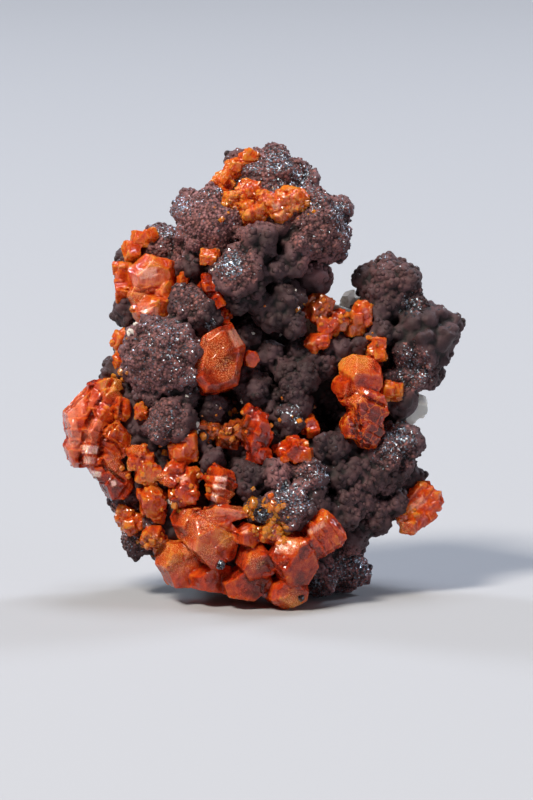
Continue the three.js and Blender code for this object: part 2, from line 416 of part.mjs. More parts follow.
// The crystals that grew together are listed under one name
const CRYSTALS = {
  durangite_rim_crust: [
    { at: [-1.2, 38.8, 0.4], size: [1.9, 1.3, 1.6], seed: 1 },
    { at: [-2.3, 38.0, 0.7], size: [2.2, 1.7, 1.9], seed: 3 },
    { at: [-3.4, 36.8, 0.9], size: [1.7, 2.2, 1.8], turn: [10, 50, 0], seed: 4 },
  ],
  durangite_crown: [
    { at: [-2.7, 35.1, 3.0], size: [2.3, 1.6, 2.2], turn: [10, 20, 25], seed: 6 },
    { at: [-1.0, 35.8, 3.1], size: [1.9, 2.6, 2.4], turn: [30, 10, 70], seed: 7 },
    { at: [0.2, 35.1, 3.6], size: [1.8, 1.9, 2.0], seed: 8 },
    { at: [-0.9, 33.8, 4.0], size: [2.4, 1.9, 2.2], turn: [10, 35, -35], seed: 9 },
    { at: [1.6, 34.7, 3.8], size: [2.4, 2.6, 2.4], turn: [25, 15, 5], seed: 11 },
    { at: [3.0, 35.1, 3.5], size: [2.3, 1.9, 2.2], turn: [5, 30, 20], seed: 12 },
  ],
  durangite_under_lobe: [{ at: [-4.7, 30.4, 4.6], size: [1.5, 1.1, 1.5], seed: 14 }],
  durangite_left_rim: [
    { at: [-10.3, 31.9, -0.2], size: [2.4, 1.3, 1.8], turn: [5, 20, 25], seed: 15 },
    { at: [-11.5, 31.0, -0.1], size: [1.7, 1.7, 1.6], seed: 16 },
  ],
  durangite_left_edge_upper: [
    { at: [-12.2, 28.8, 0.3], size: [1.3, 2.0, 1.6], turn: [10, 20, 70], seed: 17 },
    { at: [-12.1, 27.4, 0.4], size: [1.2, 1.8, 1.5], seed: 18 },
  ],
  durangite_left_block: [
    { at: [-9.8, 28.9, 2.0], size: [3.8, 3.5, 3.8], turn: [12, 22, 4], seed: 19 },
    { at: [-8.1, 28.9, 1.8], size: [2.1, 2.8, 2.8], turn: [10, 50, 12], seed: 20 },
    { at: [-8.5, 27.4, 2.6], size: [2.0, 1.7, 2.0], turn: [0, 40, 0], seed: 22 },
    { at: [-10.7, 27.0, 2.2], size: [2.1, 1.8, 2.2], turn: [0, 15, 30], seed: 23 },
    { at: [-9.5, 25.6, 3.0], size: [4.1, 3.1, 3.6], turn: [18, 28, 16], seed: 24 },
  ],
  durangite_left_block_chip: [{ at: [-6.9, 28.4, 2.9], size: [1.1, 1.3, 1.3], seed: 26 }],
  durangite_left_edge_lower: [
    { at: [-12.0, 23.2, 1.6], size: [1.6, 2.1, 1.8], turn: [20, 10, 60], seed: 27 },
    { at: [-12.1, 21.8, 1.8], size: [1.4, 1.9, 1.7], seed: 28 },
  ],
  durangite_inner_dark: [
    { at: [-4.4, 27.8, 3.9], size: [2.2, 1.8, 2.2], seed: 29 },
    { at: [-4.0, 26.7, 4.1], size: [1.7, 1.4, 1.8], seed: 30 },
  ],
  durangite_inner_brown: [{ at: [-3.4, 25.2, 3.6], size: [1.5, 1.4, 1.7], seed: 31 }],
  durangite_hexagonal: [{ at: [-1.0, 21.5, 4.4], size: [1.5, 1.5, 2.2], turn: [6, 12, 15], seed: 32 }],
  durangite_left_fan: [
    { at: [-14.9, 15.9, 2.8], size: [4.8, 6.6, 4.8], turn: [4, 12, 62], seed: 33 },
    { at: [-15.8, 13.8, 2.9], size: [2.9, 3.4, 3.8], turn: [14, 20, 20], seed: 34 },
    { at: [-13.2, 18.2, 3.6], size: [2.3, 2.3, 3.4], turn: [10, 30, 40], seed: 36 },
    { at: [-13.9, 16.7, 4.4], size: [2.2, 2.5, 3.8], turn: [15, 35, 55], seed: 37 },
    { at: [-14.5, 15.1, 4.8], size: [2.1, 2.6, 3.8], turn: [15, 35, 65], seed: 38 },
    { at: [-14.8, 13.4, 4.7], size: [1.9, 2.6, 3.4], turn: [10, 35, 75], seed: 39 },
    { at: [-13.6, 19.2, 3.0], size: [3.2, 1.3, 2.8], turn: [0, 25, 5], seed: 42 },
    { at: [-12.2, 17.2, 4.4], size: [1.8, 2.1, 2.6], turn: [0, 25, 15], seed: 44 },
    { at: [-12.9, 14.5, 4.2], size: [3.2, 3.8, 3.8], turn: [8, 28, 50], seed: 45 },
    { at: [-13.6, 12.3, 3.9], size: [3.4, 2.7, 3.4], turn: [12, 20, -35], seed: 46 },
    { at: [-12.5, 10.7, 3.6], size: [3.2, 2.6, 3.2], turn: [10, 25, -40], seed: 47 },
  ],
  durangite_left_grain: [{ at: [-10.4, 17.0, 5.2], size: [1.3, 1.2, 1.5], seed: 49 }],
  durangite_two_lobed: [
    { at: [-10.5, 13.0, 5.4], size: [2.3, 2.4, 2.4], turn: [20, 30, 35], seed: 50 },
    { at: [-9.9, 11.8, 5.5], size: [2.0, 2.0, 2.2], seed: 51 },
  ],
  durangite_lower_left_upright: [
    { at: [-9.5, 9.4, 5.2], size: [2.3, 3.0, 2.6], turn: [15, 15, 65], seed: 52 },
    { at: [-9.1, 8.1, 4.8], size: [1.7, 1.5, 2.0], seed: 53 },
  ],
  durangite_lower_left_edge: [
    { at: [-11.9, 8.0, 2.8], size: [1.5, 1.4, 1.9], seed: 54 },
    { at: [-11.1, 7.3, 2.9], size: [1.5, 1.4, 1.7], seed: 55 },
  ],
  durangite_cubic: [{ at: [-6.8, 13.7, 6.2], size: [2.5, 2.5, 2.6], turn: [8, 42, 6], seed: 56 }],
  durangite_left_trio: [
    { at: [-7.7, 11.4, 5.9], size: [2.0, 2.0, 2.2], seed: 57 },
    { at: [-6.3, 11.3, 6.3], size: [2.0, 2.0, 2.4], turn: [10, 50, 20], seed: 58 },
    { at: [-6.6, 10.0, 6.3], size: [2.5, 1.9, 2.4], turn: [0, 20, 30], seed: 59 },
  ],
  durangite_shadow: [
    { at: [-4.5, 15.4, 4.7], size: [2.3, 1.6, 2.0], seed: 60 },
    { at: [-2.9, 15.0, 4.7], size: [2.1, 2.0, 2.0], seed: 61 },
  ],
  durangite_tall: [
    { at: [-0.6, 15.2, 5.7], size: [3.0, 4.1, 3.4], turn: [12, 24, 78], seed: 63 },
    { at: [-0.3, 13.3, 6.1], size: [2.4, 2.0, 2.6], turn: [10, 30, 10], seed: 64 },
  ],
  durangite_dome: [{ at: [2.6, 13.6, 5.9], size: [3.1, 2.2, 2.8], turn: [15, 25, 10], seed: 65 }],
  durangite_grain: [{ at: [4.0, 15.8, 4.3], size: [1.4, 1.3, 1.5], seed: 67 }],
  durangite_notch_grain: [{ at: [5.0, 22.9, 3.2], size: [1.4, 1.1, 1.4], seed: 68 }],
  durangite_notch: [
    { at: [4.8, 25.8, 2.2], size: [2.5, 3.0, 2.6], turn: [10, 35, 60], seed: 69 },
    { at: [5.6, 24.4, 2.6], size: [2.0, 1.7, 2.2], seed: 70 },
    { at: [6.6, 25.1, 2.2], size: [1.4, 1.7, 1.8], seed: 71 },
  ],
  durangite_notch_right: [
    { at: [8.6, 25.4, 1.5], size: [2.1, 2.5, 2.2], turn: [10, 20, 15], seed: 72 },
    { at: [8.1, 24.1, 1.6], size: [1.6, 1.4, 1.8], seed: 73 },
  ],
  durangite_right_grain: [{ at: [9.8, 22.3, 2.9], size: [1.4, 1.5, 1.6], seed: 74 }],
  durangite_right_tall: [
    { at: [8.5, 20.0, 3.6], size: [3.8, 3.8, 3.8], turn: [20, 28, 12], seed: 75 },
    { at: [7.2, 18.8, 3.7], size: [2.4, 3.0, 2.8], turn: [10, 40, 50], seed: 76 },
    { at: [9.0, 17.3, 4.1], size: [3.7, 3.8, 3.8], turn: [14, 22, 70], seed: 77 },
    { at: [9.0, 15.2, 4.0], size: [3.0, 3.2, 3.2], turn: [10, 35, 75], seed: 78 },
    { at: [7.6, 15.8, 4.0], size: [1.9, 2.4, 2.4], turn: [0, 20, 20], seed: 80 },
  ],
  durangite_right_plate: [{ at: [11.1, 18.7, 2.9], size: [1.8, 1.3, 1.5], turn: [80, 10, 5], seed: 81 }],
  durangite_base: [
    { at: [-3.6, 10.6, 6.9], size: [2.9, 4.0, 3.2], turn: [12, 30, 68], seed: 82 },
    { at: [-6.2, 7.5, 5.8], size: [3.4, 3.0, 3.6], turn: [10, 35, 25], seed: 83 },
    { at: [-4.5, 6.2, 6.8], size: [5.2, 5.4, 5.2], turn: [16, 24, 42], seed: 84 },
    { at: [-3.2, 8.3, 7.4], size: [4.2, 1.6, 2.6], turn: [5, 15, 3], seed: 85 },
    { at: [-1.2, 6.4, 8.2], size: [2.8, 2.2, 3.2], turn: [8, 32, 0], seed: 86 },
    { at: [0.6, 6.5, 8.0], size: [2.4, 1.9, 3.2], turn: [0, 20, 10], seed: 87 },
    { at: [-0.6, 4.2, 7.6], size: [3.6, 3.4, 4.0], turn: [14, 20, 30], seed: 88 },
    { at: [2.6, 4.4, 7.8], size: [4.5, 4.8, 4.6], turn: [18, 30, -38], seed: 89 },
    { at: [5.0, 6.5, 6.6], size: [4.5, 4.2, 4.4], turn: [12, 26, 48], seed: 90 },
    { at: [-7.0, 3.9, 4.6], size: [4.6, 4.3, 4.4], turn: [10, 25, 28], seed: 91 },
    { at: [-4.4, 2.7, 5.6], size: [4.0, 2.7, 3.6], turn: [8, 30, 10], seed: 92 },
    { at: [-1.4, 2.3, 6.4], size: [4.8, 3.0, 4.0], turn: [12, 15, 12], seed: 93 },
    { at: [2.0, 1.6, 6.8], size: [4.0, 3.1, 4.2], turn: [10, 22, -12], seed: 94 },
  ],
  durangite_lower_left_brown: [{ at: [-9.4, 6.1, 4.4], size: [1.7, 2.0, 2.0], seed: 96 }],
  durangite_back_upper: [
    { at: [3.6, 31.0, -5.4], size: [3.0, 2.8, 2.6], turn: [15, 200, 20], seed: 97 },
    { at: [4.0, 29.3, -4.8], size: [2.2, 2.2, 2.2], seed: 98 },
  ],
  durangite_back_left: [
    { at: [-10.8, 22.6, -5.6], size: [3.4, 3.0, 3.0], turn: [10, 150, 40], seed: 99 },
    { at: [-10.2, 20.6, -5.8], size: [2.2, 2.2, 2.4], seed: 100 },
  ],
  durangite_back_lower: [{ at: [9.4, 10.4, -5.8], size: [2.8, 3.0, 2.8], turn: [12, 170, 30], seed: 101 }],
};

const PLATES = {
  durangite_tabular: {
    outline: TABULAR_OUTLINE, toward: 5.0, thick: 4.0, bevel: 0.55, tilt: [-6, 8],
  },
  durangite_corner_plate: {
    outline: CORNER_PLATE_OUTLINE, toward: 0.4, thick: 2.4, bevel: 0.3, tilt: [0, 10],
  },
};

// Host rock: a broken, angular block behind the hematite, bare at the back and under the foot,
// with spurs that show at the right edge, in the notch and at the left

const ROCK_BLOCKS = [
  { at: [0.4, 14.0, -5.4], size: [16.0, 24.0, 9.0], turn: [8, 24, 12], seed: 201 },
  { at: [-1.0, 24.4, -5.2], size: [13.0, 9.0, 7.0], turn: [20, 10, 30], seed: 202 },
  { at: [0.2, 4.2, -2.6], size: [11.0, 8.8, 10.0], turn: [14, 18, 8], seed: 203 },
  { at: [10.3, 17.2, -2.0], size: [8.6, 5.0, 3.6], turn: [6, 12, 5], seed: 204 },
  { at: [5.4, 24.6, -3.2], size: [5.4, 3.8, 5.6], turn: [6, 12, 5], seed: 205 },
  { at: [-8.2, 23.8, -2.6], size: [8.0, 3.2, 5.0], turn: [6, 12, 5], seed: 206 },
];

const FLOOR_BLOCK = 80; // a block under the floor, that cuts the foot flat

function underFloor() {
  const geometry = new THREE.BoxGeometry(FLOOR_BLOCK, FLOOR_BLOCK, FLOOR_BLOCK);
  geometry.translate(0, 0, -FLOOR_BLOCK / 2);
  return solidOf(geometry);
}

function rock(grown = 0) {
  return joined(ROCK_BLOCKS.map((block) => crystal(block, grown)));
}

// The specimen put together

const allCrystals = {};
for (const [name, members] of Object.entries(CRYSTALS)) {
  allCrystals[name] = (grown) => joined(members.map((member) => crystal(member, grown)));
}
for (const [name, form] of Object.entries(PLATES)) {
  allCrystals[name] = (grown) => plate(form, grown);
}

const pockets = joined(Object.values(allCrystals).map((make) => make(GAP)));
const knobs = [
  ...BODIES.map((place, i) => knob(place, SEEDS.bodies + i)),
  ...BERRIES.map(([across, up, toward, radius, bumps], i) => (
    knob([across, up, toward, radius], SEEDS.berries + i, { bumps }))),
  ...BACK_KNOBS.map((place, i) => knob(place, SEEDS.back + i)),
  ...[TOP_KNOBS, LEFT_KNOBS].flat().map((place, i) => (
    knob(place, SEEDS.topAndLeft + i, { reach: KNOB_REACH }))),
  ...[RIGHT_KNOBS, CENTRE_KNOBS].flat().map((place, i) => (
    knob(place, SEEDS.rightAndCentre + i, { reach: FINGER_REACH }))),
];
const botryoids = solidOf(geometryOf(melted(joined(knobs), KNOB_MELTING)));
const hematite = botryoids.subtract(pockets).subtract(rock(GAP)).subtract(underFloor());
const hostRock = rock().subtract(pockets).subtract(underFloor());

const FINISHES = {
  hematite: { color: 0x4a3034, roughness: 0.62, metalness: 0.25 },
  hostRock: { color: 0xd8d2c8, roughness: 0.8, metalness: 0 },
  durangite: { color: 0xc4461c, roughness: 0.25, metalness: 0 },
};

const specimen = new THREE.Group();

function addPiece(name, solid, finish) {
  const material = new THREE.MeshStandardMaterial(finish);
  const mesh = new THREE.Mesh(geometryOf(melted(solid, CUT_MELTING)), material);
  mesh.name = name;
  specimen.add(mesh);
}

addPiece('hematite', hematite, FINISHES.hematite);
addPiece('host_rock', hostRock, FINISHES.hostRock);
for (const [name, make] of Object.entries(allCrystals)) {
  addPiece(name, make(0), FINISHES.durangite);
}

export default specimen;
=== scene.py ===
# Durangite crystals on knobbly hematite and pale host rock: a hand specimen 39 mm tall.
# The frame gives the solids of the pieces. This script gives them their grown surfaces and their
# finishes. All lengths named here are in millimetres.

import math

import bpy
import numpy as np
from mathutils import Matrix, Vector


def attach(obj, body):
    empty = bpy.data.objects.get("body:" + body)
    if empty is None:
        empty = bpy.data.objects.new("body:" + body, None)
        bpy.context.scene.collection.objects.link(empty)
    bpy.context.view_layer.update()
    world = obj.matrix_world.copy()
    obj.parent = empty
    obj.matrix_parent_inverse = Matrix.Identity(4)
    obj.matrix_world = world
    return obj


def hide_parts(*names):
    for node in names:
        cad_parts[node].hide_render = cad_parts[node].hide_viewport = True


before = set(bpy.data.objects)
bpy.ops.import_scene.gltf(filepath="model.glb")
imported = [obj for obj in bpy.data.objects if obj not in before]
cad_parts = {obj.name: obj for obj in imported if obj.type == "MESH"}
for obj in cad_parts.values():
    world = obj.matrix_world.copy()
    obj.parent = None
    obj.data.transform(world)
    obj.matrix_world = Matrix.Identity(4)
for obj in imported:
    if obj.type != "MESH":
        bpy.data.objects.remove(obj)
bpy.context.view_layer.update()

MM = 0.001

# Places are given as [across, up, toward], as one looks at the crystal face from a little above
VIEW_RISE = math.radians(8)
FOOT_DROP = 1.0
STANCE = Matrix.Translation((0, 0, -FOOT_DROP * MM)) @ Matrix.Rotation(math.pi / 2 - VIEW_RISE, 4, "X")

# The photograph's frame: its middle, and the height that it takes in at the specimen
FRAME_MIDDLE = (0.35, 17.96, 0.0)
FRAME_HEIGHT = 69.57
LENS = 250
SENSOR = 36

# How fine the surfaces are: the voxels that they are remeshed with, the most triangles in a piece, and
# the most on a square millimetre of a crystal that isn't sugary
KNOB_VOXEL = 0.26
LOBE_VOXEL = 0.2
BUD_VOXEL = 0.15
CRYSTAL_VOXEL = 0.09
ROCK_VOXEL = 0.22
SKIN_TRIANGLES = 180000
CRYSTAL_TRIANGLES = 48000
ROCK_TRIANGLES = 40000
TRIANGLES_PER_MM2 = 140

# How far a remeshed surface is pushed out
SWELL = 0.05

# The sugariness past which a crystal grows blocks, and past which it grows sugar too, and how many places
# are tried on a square millimetre for each: for sugar that many times the sugariness
BLOCKY = 0.25
SUGARY = 0.75
BLOCKS_PER_MM2 = 4
SUGAR_PER_MM2 = 22

# Random sizes are drawn with this power, so that most of what grows is small
MOSTLY_SMALL = 1.5

# Places where the hematite is granular and glitters: across, up, reach
GRANULAR = [
    (0.6, 36.8, 4.6), (-4.5, 33.6, 3.6), (4.9, 33.4, 3.4), (-2.3, 29.3, 2.2), (-9.0, 31.0, 2.4),
    (-8.9, 21.7, 3.9), (-8.4, 16.3, 2.2), (-6.3, 26.6, 1.8), (2.0, 8.9, 2.2), (7.3, 3.0, 2.2),
    (12.4, 20.6, 2.4), (11.4, 13.9, 2.4), (-11.8, 7.0, 2.8), (4.4, 2.2, 1.6), (3.4, 12.2, 1.6),
    (13.4, 26.6, 1.2),
]

# Reddish, lighter places: across, up, reach, strength
RUSTY = [
    (-4.5, 33.6, 3.8, 1.0), (4.9, 33.4, 3.6, 0.6), (0.6, 36.8, 4.6, 0.7), (-2.3, 29.3, 2.4, 0.5),
    (-9.0, 31.0, 2.6, 0.7), (-8.9, 21.7, 3.9, 0.75), (-8.4, 16.3, 2.2, 0.5), (11.0, 28.8, 2.4, 0.2),
    (2.6, 11.6, 2.6, 0.7), (7.3, 3.0, 2.4, 1.0), (5.2, 30.4, 2.4, 0.5), (13.0, 20.4, 2.2, 0.45),
    (-3.4, 30.8, 2.0, 0.6), (2.0, 8.9, 2.2, 0.5), (11.4, 13.9, 2.4, 0.4), (-11.8, 7.0, 2.8, 0.3),
    (4.4, 2.2, 1.6, 0.4), (9.6, 9.6, 3.0, 0.15), (-6.2, 26.4, 1.8, 0.4),
]

# Silvery places, thick with steely crystal faces: across, up, reach, strength
SILVERY = [
    (-2.8, 36.4, 1.3, 0.9), (-1.2, 38.2, 1.3, 1.0), (1.4, 38.6, 1.4, 0.9), (3.4, 37.2, 1.3, 0.8),
    (4.4, 35.2, 1.2, 0.8), (1.3, 36.0, 1.3, 1.0), (6.8, 33.9, 1.4, 0.7), (7.4, 31.8, 1.2, 0.6),
    (7.0, 29.9, 1.0, 0.6), (-7.2, 34.6, 1.3, 0.7), (-7.9, 32.6, 1.0, 0.6), (-2.9, 29.6, 1.5, 1.0),
    (-8.2, 22.8, 2.6, 0.3), (-6.2, 19.4, 1.0, 0.6), (-8.8, 15.9, 1.6, 0.5), (12.8, 26.1, 1.1, 1.0),
    (13.2, 20.7, 1.9, 0.9), (11.4, 14.4, 2.0, 0.9), (2.5, 9.3, 2.0, 0.9), (7.7, 2.6, 2.4, 1.1),
    (4.4, 1.9, 1.4, 0.9), (-11.8, 7.0, 2.0, 0.3), (4.4, 11.2, 1.5, 0.6), (2.4, 16.8, 1.2, 0.6),
    (-9.4, 32.6, 1.0, 0.4), (10.2, 30.0, 0.8, 0.3),
]

# Places where small buds cover the smooth lobes: across, up, reach
BUDDED = [
    (11.0, 28.2, 2.8), (5.2, 30.6, 2.0), (-3.6, 31.0, 1.8), (8.6, 9.2, 2.6), (-7.0, 9.4, 1.8),
    (2.6, 19.0, 2.0), (-5.4, 25.6, 1.4), (11.0, 10.8, 1.8), (0.2, 12.0, 1.6), (14.6, 20.4, 1.2),
]

# Places where the host rock stays bare: across, up, reach
BARE = [(13.4, 17.4, 1.9), (7.4, 26.2, 1.2)]

# Places of larger, plain lobes: across, up, reach
LOBED = [(14.6, 23.8, 3.4), (2.4, 31.8, 2.0), (4.8, 27.4, 1.6)]


def place(across, up, toward):
    """A place as seen on the crystal face, turned into the upright frame, in metres."""
    return STANCE @ Vector((across * MM, up * MM, toward * MM))


def seen(points):
    """The other way: points of the upright frame as rows of across, up, toward, in millimetres."""
    back = np.array(STANCE.inverted())
    return (points @ back[:3, :3].T + back[:3, 3]) / MM


# Working on one piece


def only(piece):
    """Selects this piece alone and makes it the active one."""
    for other in bpy.context.selected_objects:
        other.select_set(False)
    piece.select_set(True)
    bpy.context.view_layer.objects.active = piece


def apply_modifier(piece, kind, **settings):
    """Adds one modifier with its settings and applies it."""
    only(piece)
    modifier = piece.modifiers.new(kind.lower(), kind)
    for key, value in settings.items():
        setattr(modifier, key, value)
    bpy.ops.object.modifier_apply(modifier=modifier.name)


def copy_of(node, name):
    """A merged copy of a solid of the frame, as a new piece."""
    piece = bpy.data.objects.new(name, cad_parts[node].data.copy())
    bpy.context.scene.collection.objects.link(piece)
    piece.data.materials.clear()
    only(piece)
    bpy.ops.object.mode_set(mode="EDIT")
    bpy.ops.mesh.select_all(action="SELECT")
    bpy.ops.mesh.remove_doubles(threshold=0.002 * MM)
    bpy.ops.object.mode_set(mode="OBJECT")
    return piece


def pattern(name, kind, size, **settings):
    """A pattern for the Displace modifier, of a size in millimetres."""
    texture = bpy.data.textures.new(name, kind)
    texture.noise_scale = size * MM
    for key, value in settings.items():
        setattr(texture, key, value)
    return texture


def cells(name, size, distance="CHEBYCHEV"):
    """A pattern of cells with straight edges, for broken and stepped faces."""
    return pattern(name, "VORONOI", size, color_mode="POSITION", distance_metric=distance)


def displace(piece, texture, height, middle=0.5):
    """Moves the surface in and out by a pattern, by up to a height in millimetres."""
    apply_modifier(piece, "DISPLACE", texture=texture, strength=height * MM, mid_level=middle,
                   texture_coords="LOCAL")


def remesh(piece, voxel):
    """One closed skin round all that the piece holds."""
    apply_modifier(piece, "REMESH", mode="VOXEL", voxel_size=voxel * MM, use_smooth_shade=True)


def thinned(piece, most):
    """Brings a piece with more triangles than this down to them, thinned where the surface is flattest."""
    piece.data.calc_loop_triangles()
    count = len(piece.data.loop_triangles)
    if count > most:
        apply_modifier(piece, "DECIMATE", ratio=most / count)


def arrays(piece):
    """Vertices, triangles and vertex normals of a piece."""
    mesh = piece.data
    mesh.calc_loop_triangles()
    vertices = np.empty(len(mesh.vertices) * 3)
    mesh.vertices.foreach_get("co", vertices)
    triangles = np.empty(len(mesh.loop_triangles) * 3, int)
    mesh.loop_triangles.foreach_get("vertices", triangles)
    normals = np.empty(len(mesh.vertices) * 3)
    mesh.vertices.foreach_get("normal", normals)
    return vertices.reshape(-1, 3), triangles.reshape(-1, 3), normals.reshape(-1, 3)


def move_vertices(piece, vertices):
    """Puts a piece's vertices at new places."""
    piece.data.vertices.foreach_set("co", vertices.ravel())
    piece.data.update()


def stand_on_floor(piece):
    """Lifts all that reaches under the level that the specimen stands on."""
    vertices, _, _ = arrays(piece)
    vertices[:, 2] = np.maximum(vertices[:, 2], 0)
    move_vertices(piece, vertices)


def area_of(piece):
    """The area of a piece's surface in square millimetres."""
    return sum(face.area for face in piece.data.polygons) / MM ** 2


def attribute(piece, name, values):
    """Stores a number from 0 to 1 at each vertex, for the materials."""
    layer = piece.data.attributes.get(name) or piece.data.attributes.new(name, "FLOAT", "POINT")
    layer.data.foreach_set("value", np.clip(values, 0, 1).astype(np.float32))


def surface_points(piece, count, draw):
    """Random places spread evenly over a piece's surface, each with its outward direction."""
    vertices, triangles, _ = arrays(piece)
    a, b, c = (vertices[triangles[:, k]] for k in range(3))
    across = np.cross(b - a, c - a)
    area = np.linalg.norm(across, axis=1)
    chosen = draw.choice(len(triangles), count, p=area / area.sum())
    s, t = draw.random((2, count, 1))
    s, t = np.where(s + t > 1, 1 - s, s), np.where(s + t > 1, 1 - t, t)
    spots = a[chosen] * (1 - s - t) + b[chosen] * s + c[chosen] * t
    return spots, across[chosen] / np.maximum(area[chosen], 1e-20)[:, None]


def kept_apart(points, gaps):
    """The indices of points that keep away from all that were kept before them, by the geometric mean of
    the two points' gaps."""
    cell = float(gaps.max())
    grid, kept = {}, []
    for i, point in enumerate(points):
        key = tuple(np.floor(point / cell).astype(int))
        near = (j for dx in (-1, 0, 1) for dy in (-1, 0, 1) for dz in (-1, 0, 1)
                for j in grid.get((key[0] + dx, key[1] + dy, key[2] + dz), ()))
        if all(np.sum((points[j] - point) ** 2) > (gaps[i] * gaps[j]) for j in near):
            grid.setdefault(key, []).append(i)
            kept.append(i)
    return np.array(kept)


def facing(directions, draw, spread=math.pi):
    """For each direction a turn that points Z that way, spun about it by up to spread either way."""
    z = directions / np.linalg.norm(directions, axis=1)[:, None]
    helper = np.where(np.abs(z[:, 2:]) < 0.9, [[0.0, 0.0, 1.0]], [[1.0, 0.0, 0.0]])
    x = np.cross(helper, z)
    x /= np.linalg.norm(x, axis=1)[:, None]
    y = np.cross(z, x)
    spin = (draw.random((len(z), 1)) * 2 - 1) * spread
    return np.stack([x * np.cos(spin) + y * np.sin(spin), y * np.cos(spin) - x * np.sin(spin), z], 2)


def copies(name, template, spots, turns, sizes):
    """One piece that holds a copy of the template at each spot, which counts as hollow low on its
    sides, where the hematite's material paints shade. The template is removed."""
    vertices, triangles, _ = arrays(template)
    bpy.data.objects.remove(template)
    sizes = np.asarray(sizes)
    if sizes.ndim == 1:
        sizes = np.repeat(sizes[:, None], 3, 1)
    moved = np.einsum("nij,nj,vj->nvi", turns, sizes, vertices) + spots[:, None]
    sides = np.tile(1 - smooth(0.0, 0.8, vertices[:, 2]), len(spots))
    faces = triangles[None] + (np.arange(len(spots)) * len(vertices))[:, None, None]
    mesh = bpy.data.meshes.new(name)
    mesh.from_pydata(moved.reshape(-1, 3), [], faces.reshape(-1, 3))
    piece = bpy.data.objects.new(name, mesh)
    bpy.context.scene.collection.objects.link(piece)
    attribute(piece, "hollow", sides)
    return piece


def joined(pieces):
    """All the pieces as one."""
    only(pieces[0])
    for piece in pieces[1:]:
        piece.select_set(True)
    bpy.ops.object.join()
    return pieces[0]


def smooth(low, high, values):
    """A smooth step: 0 up to the low value, and 1 from the high one on."""
    t = np.clip((values - low) / (high - low), 0, 1)
    return t * t * (3 - 2 * t)


def near_marks(points, marks):
    """How near each point is to the nearest mark: 1 over its middle half, or else the mark's own strength,
    and fading to 0 a little past its reach."""
    view = seen(points)
    closeness = np.zeros(len(points))
    for across, up, reach, *strength in marks:
        gap = np.hypot(view[:, 0] - across, view[:, 1] - up)
        most = strength[0] if strength else 1.0
        closeness = np.maximum(closeness, most * (1 - smooth(0.55 * reach, 1.15 * reach, gap)))
    return closeness


def sinking(piece, rounds):
    """How far each point lies under the surface round it, in millimetres: less than 0 on tops and edges.
    More rounds take in more of what is round it."""
    edges = np.empty(len(piece.data.edges) * 2, int)
    piece.data.edges.foreach_get("vertices", edges)
    ends = np.concatenate([edges[0::2], edges[1::2]])
    others = np.concatenate([edges[1::2], edges[0::2]])
    vertices, _, normals = arrays(piece)
    count = np.maximum(np.bincount(ends, minlength=len(vertices)), 1)
    level = vertices
    for _ in range(rounds):
        near = [np.bincount(ends, weights=level[others, k], minlength=len(vertices)) for k in range(3)]
        level = np.stack(near, 1) / count[:, None]
    return np.sum((level - vertices) * normals, 1) / MM


def finished(piece, material, slot, *nodes):
    """Gives a piece its material, and its place in the frame."""
    piece.data.materials.clear()
    piece.data.materials.append(material)
    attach(piece, "root")
    if nodes:
        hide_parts(*nodes)
    return piece


# Materials


def colour(code):
    """A hex sRGB colour as linear red, green, blue and alpha."""
    channels = [int(code[i:i + 2], 16) / 255 for i in (1, 3, 5)]
    return [c / 12.92 if c <= 0.04045 else ((c + 0.055) / 1.055) ** 2.4 for c in channels] + [1.0]


def add(tree, kind, inputs=None, **settings):
    """Adds a node. inputs gives each socket a value, or an output to link it to."""
    node = tree.nodes.new("ShaderNode" + kind)
    for key, value in settings.items():
        setattr(node, key, value)
    for socket, value in (inputs or {}).items():
        if isinstance(value, bpy.types.NodeSocket):
            tree.links.new(value, node.inputs[socket])
        else:
            node.inputs[socket].default_value = value
    return node


def new_material(name):
    """A material with an empty tree but for its output."""
    material = bpy.data.materials.new(name)
    material.use_nodes = True
    tree = material.node_tree
    tree.nodes.clear()
    return material, tree


def per_mm(size):
    """The scale at which a pattern on Object coordinates has this size in millimetres."""
    return 1 / (size * MM)


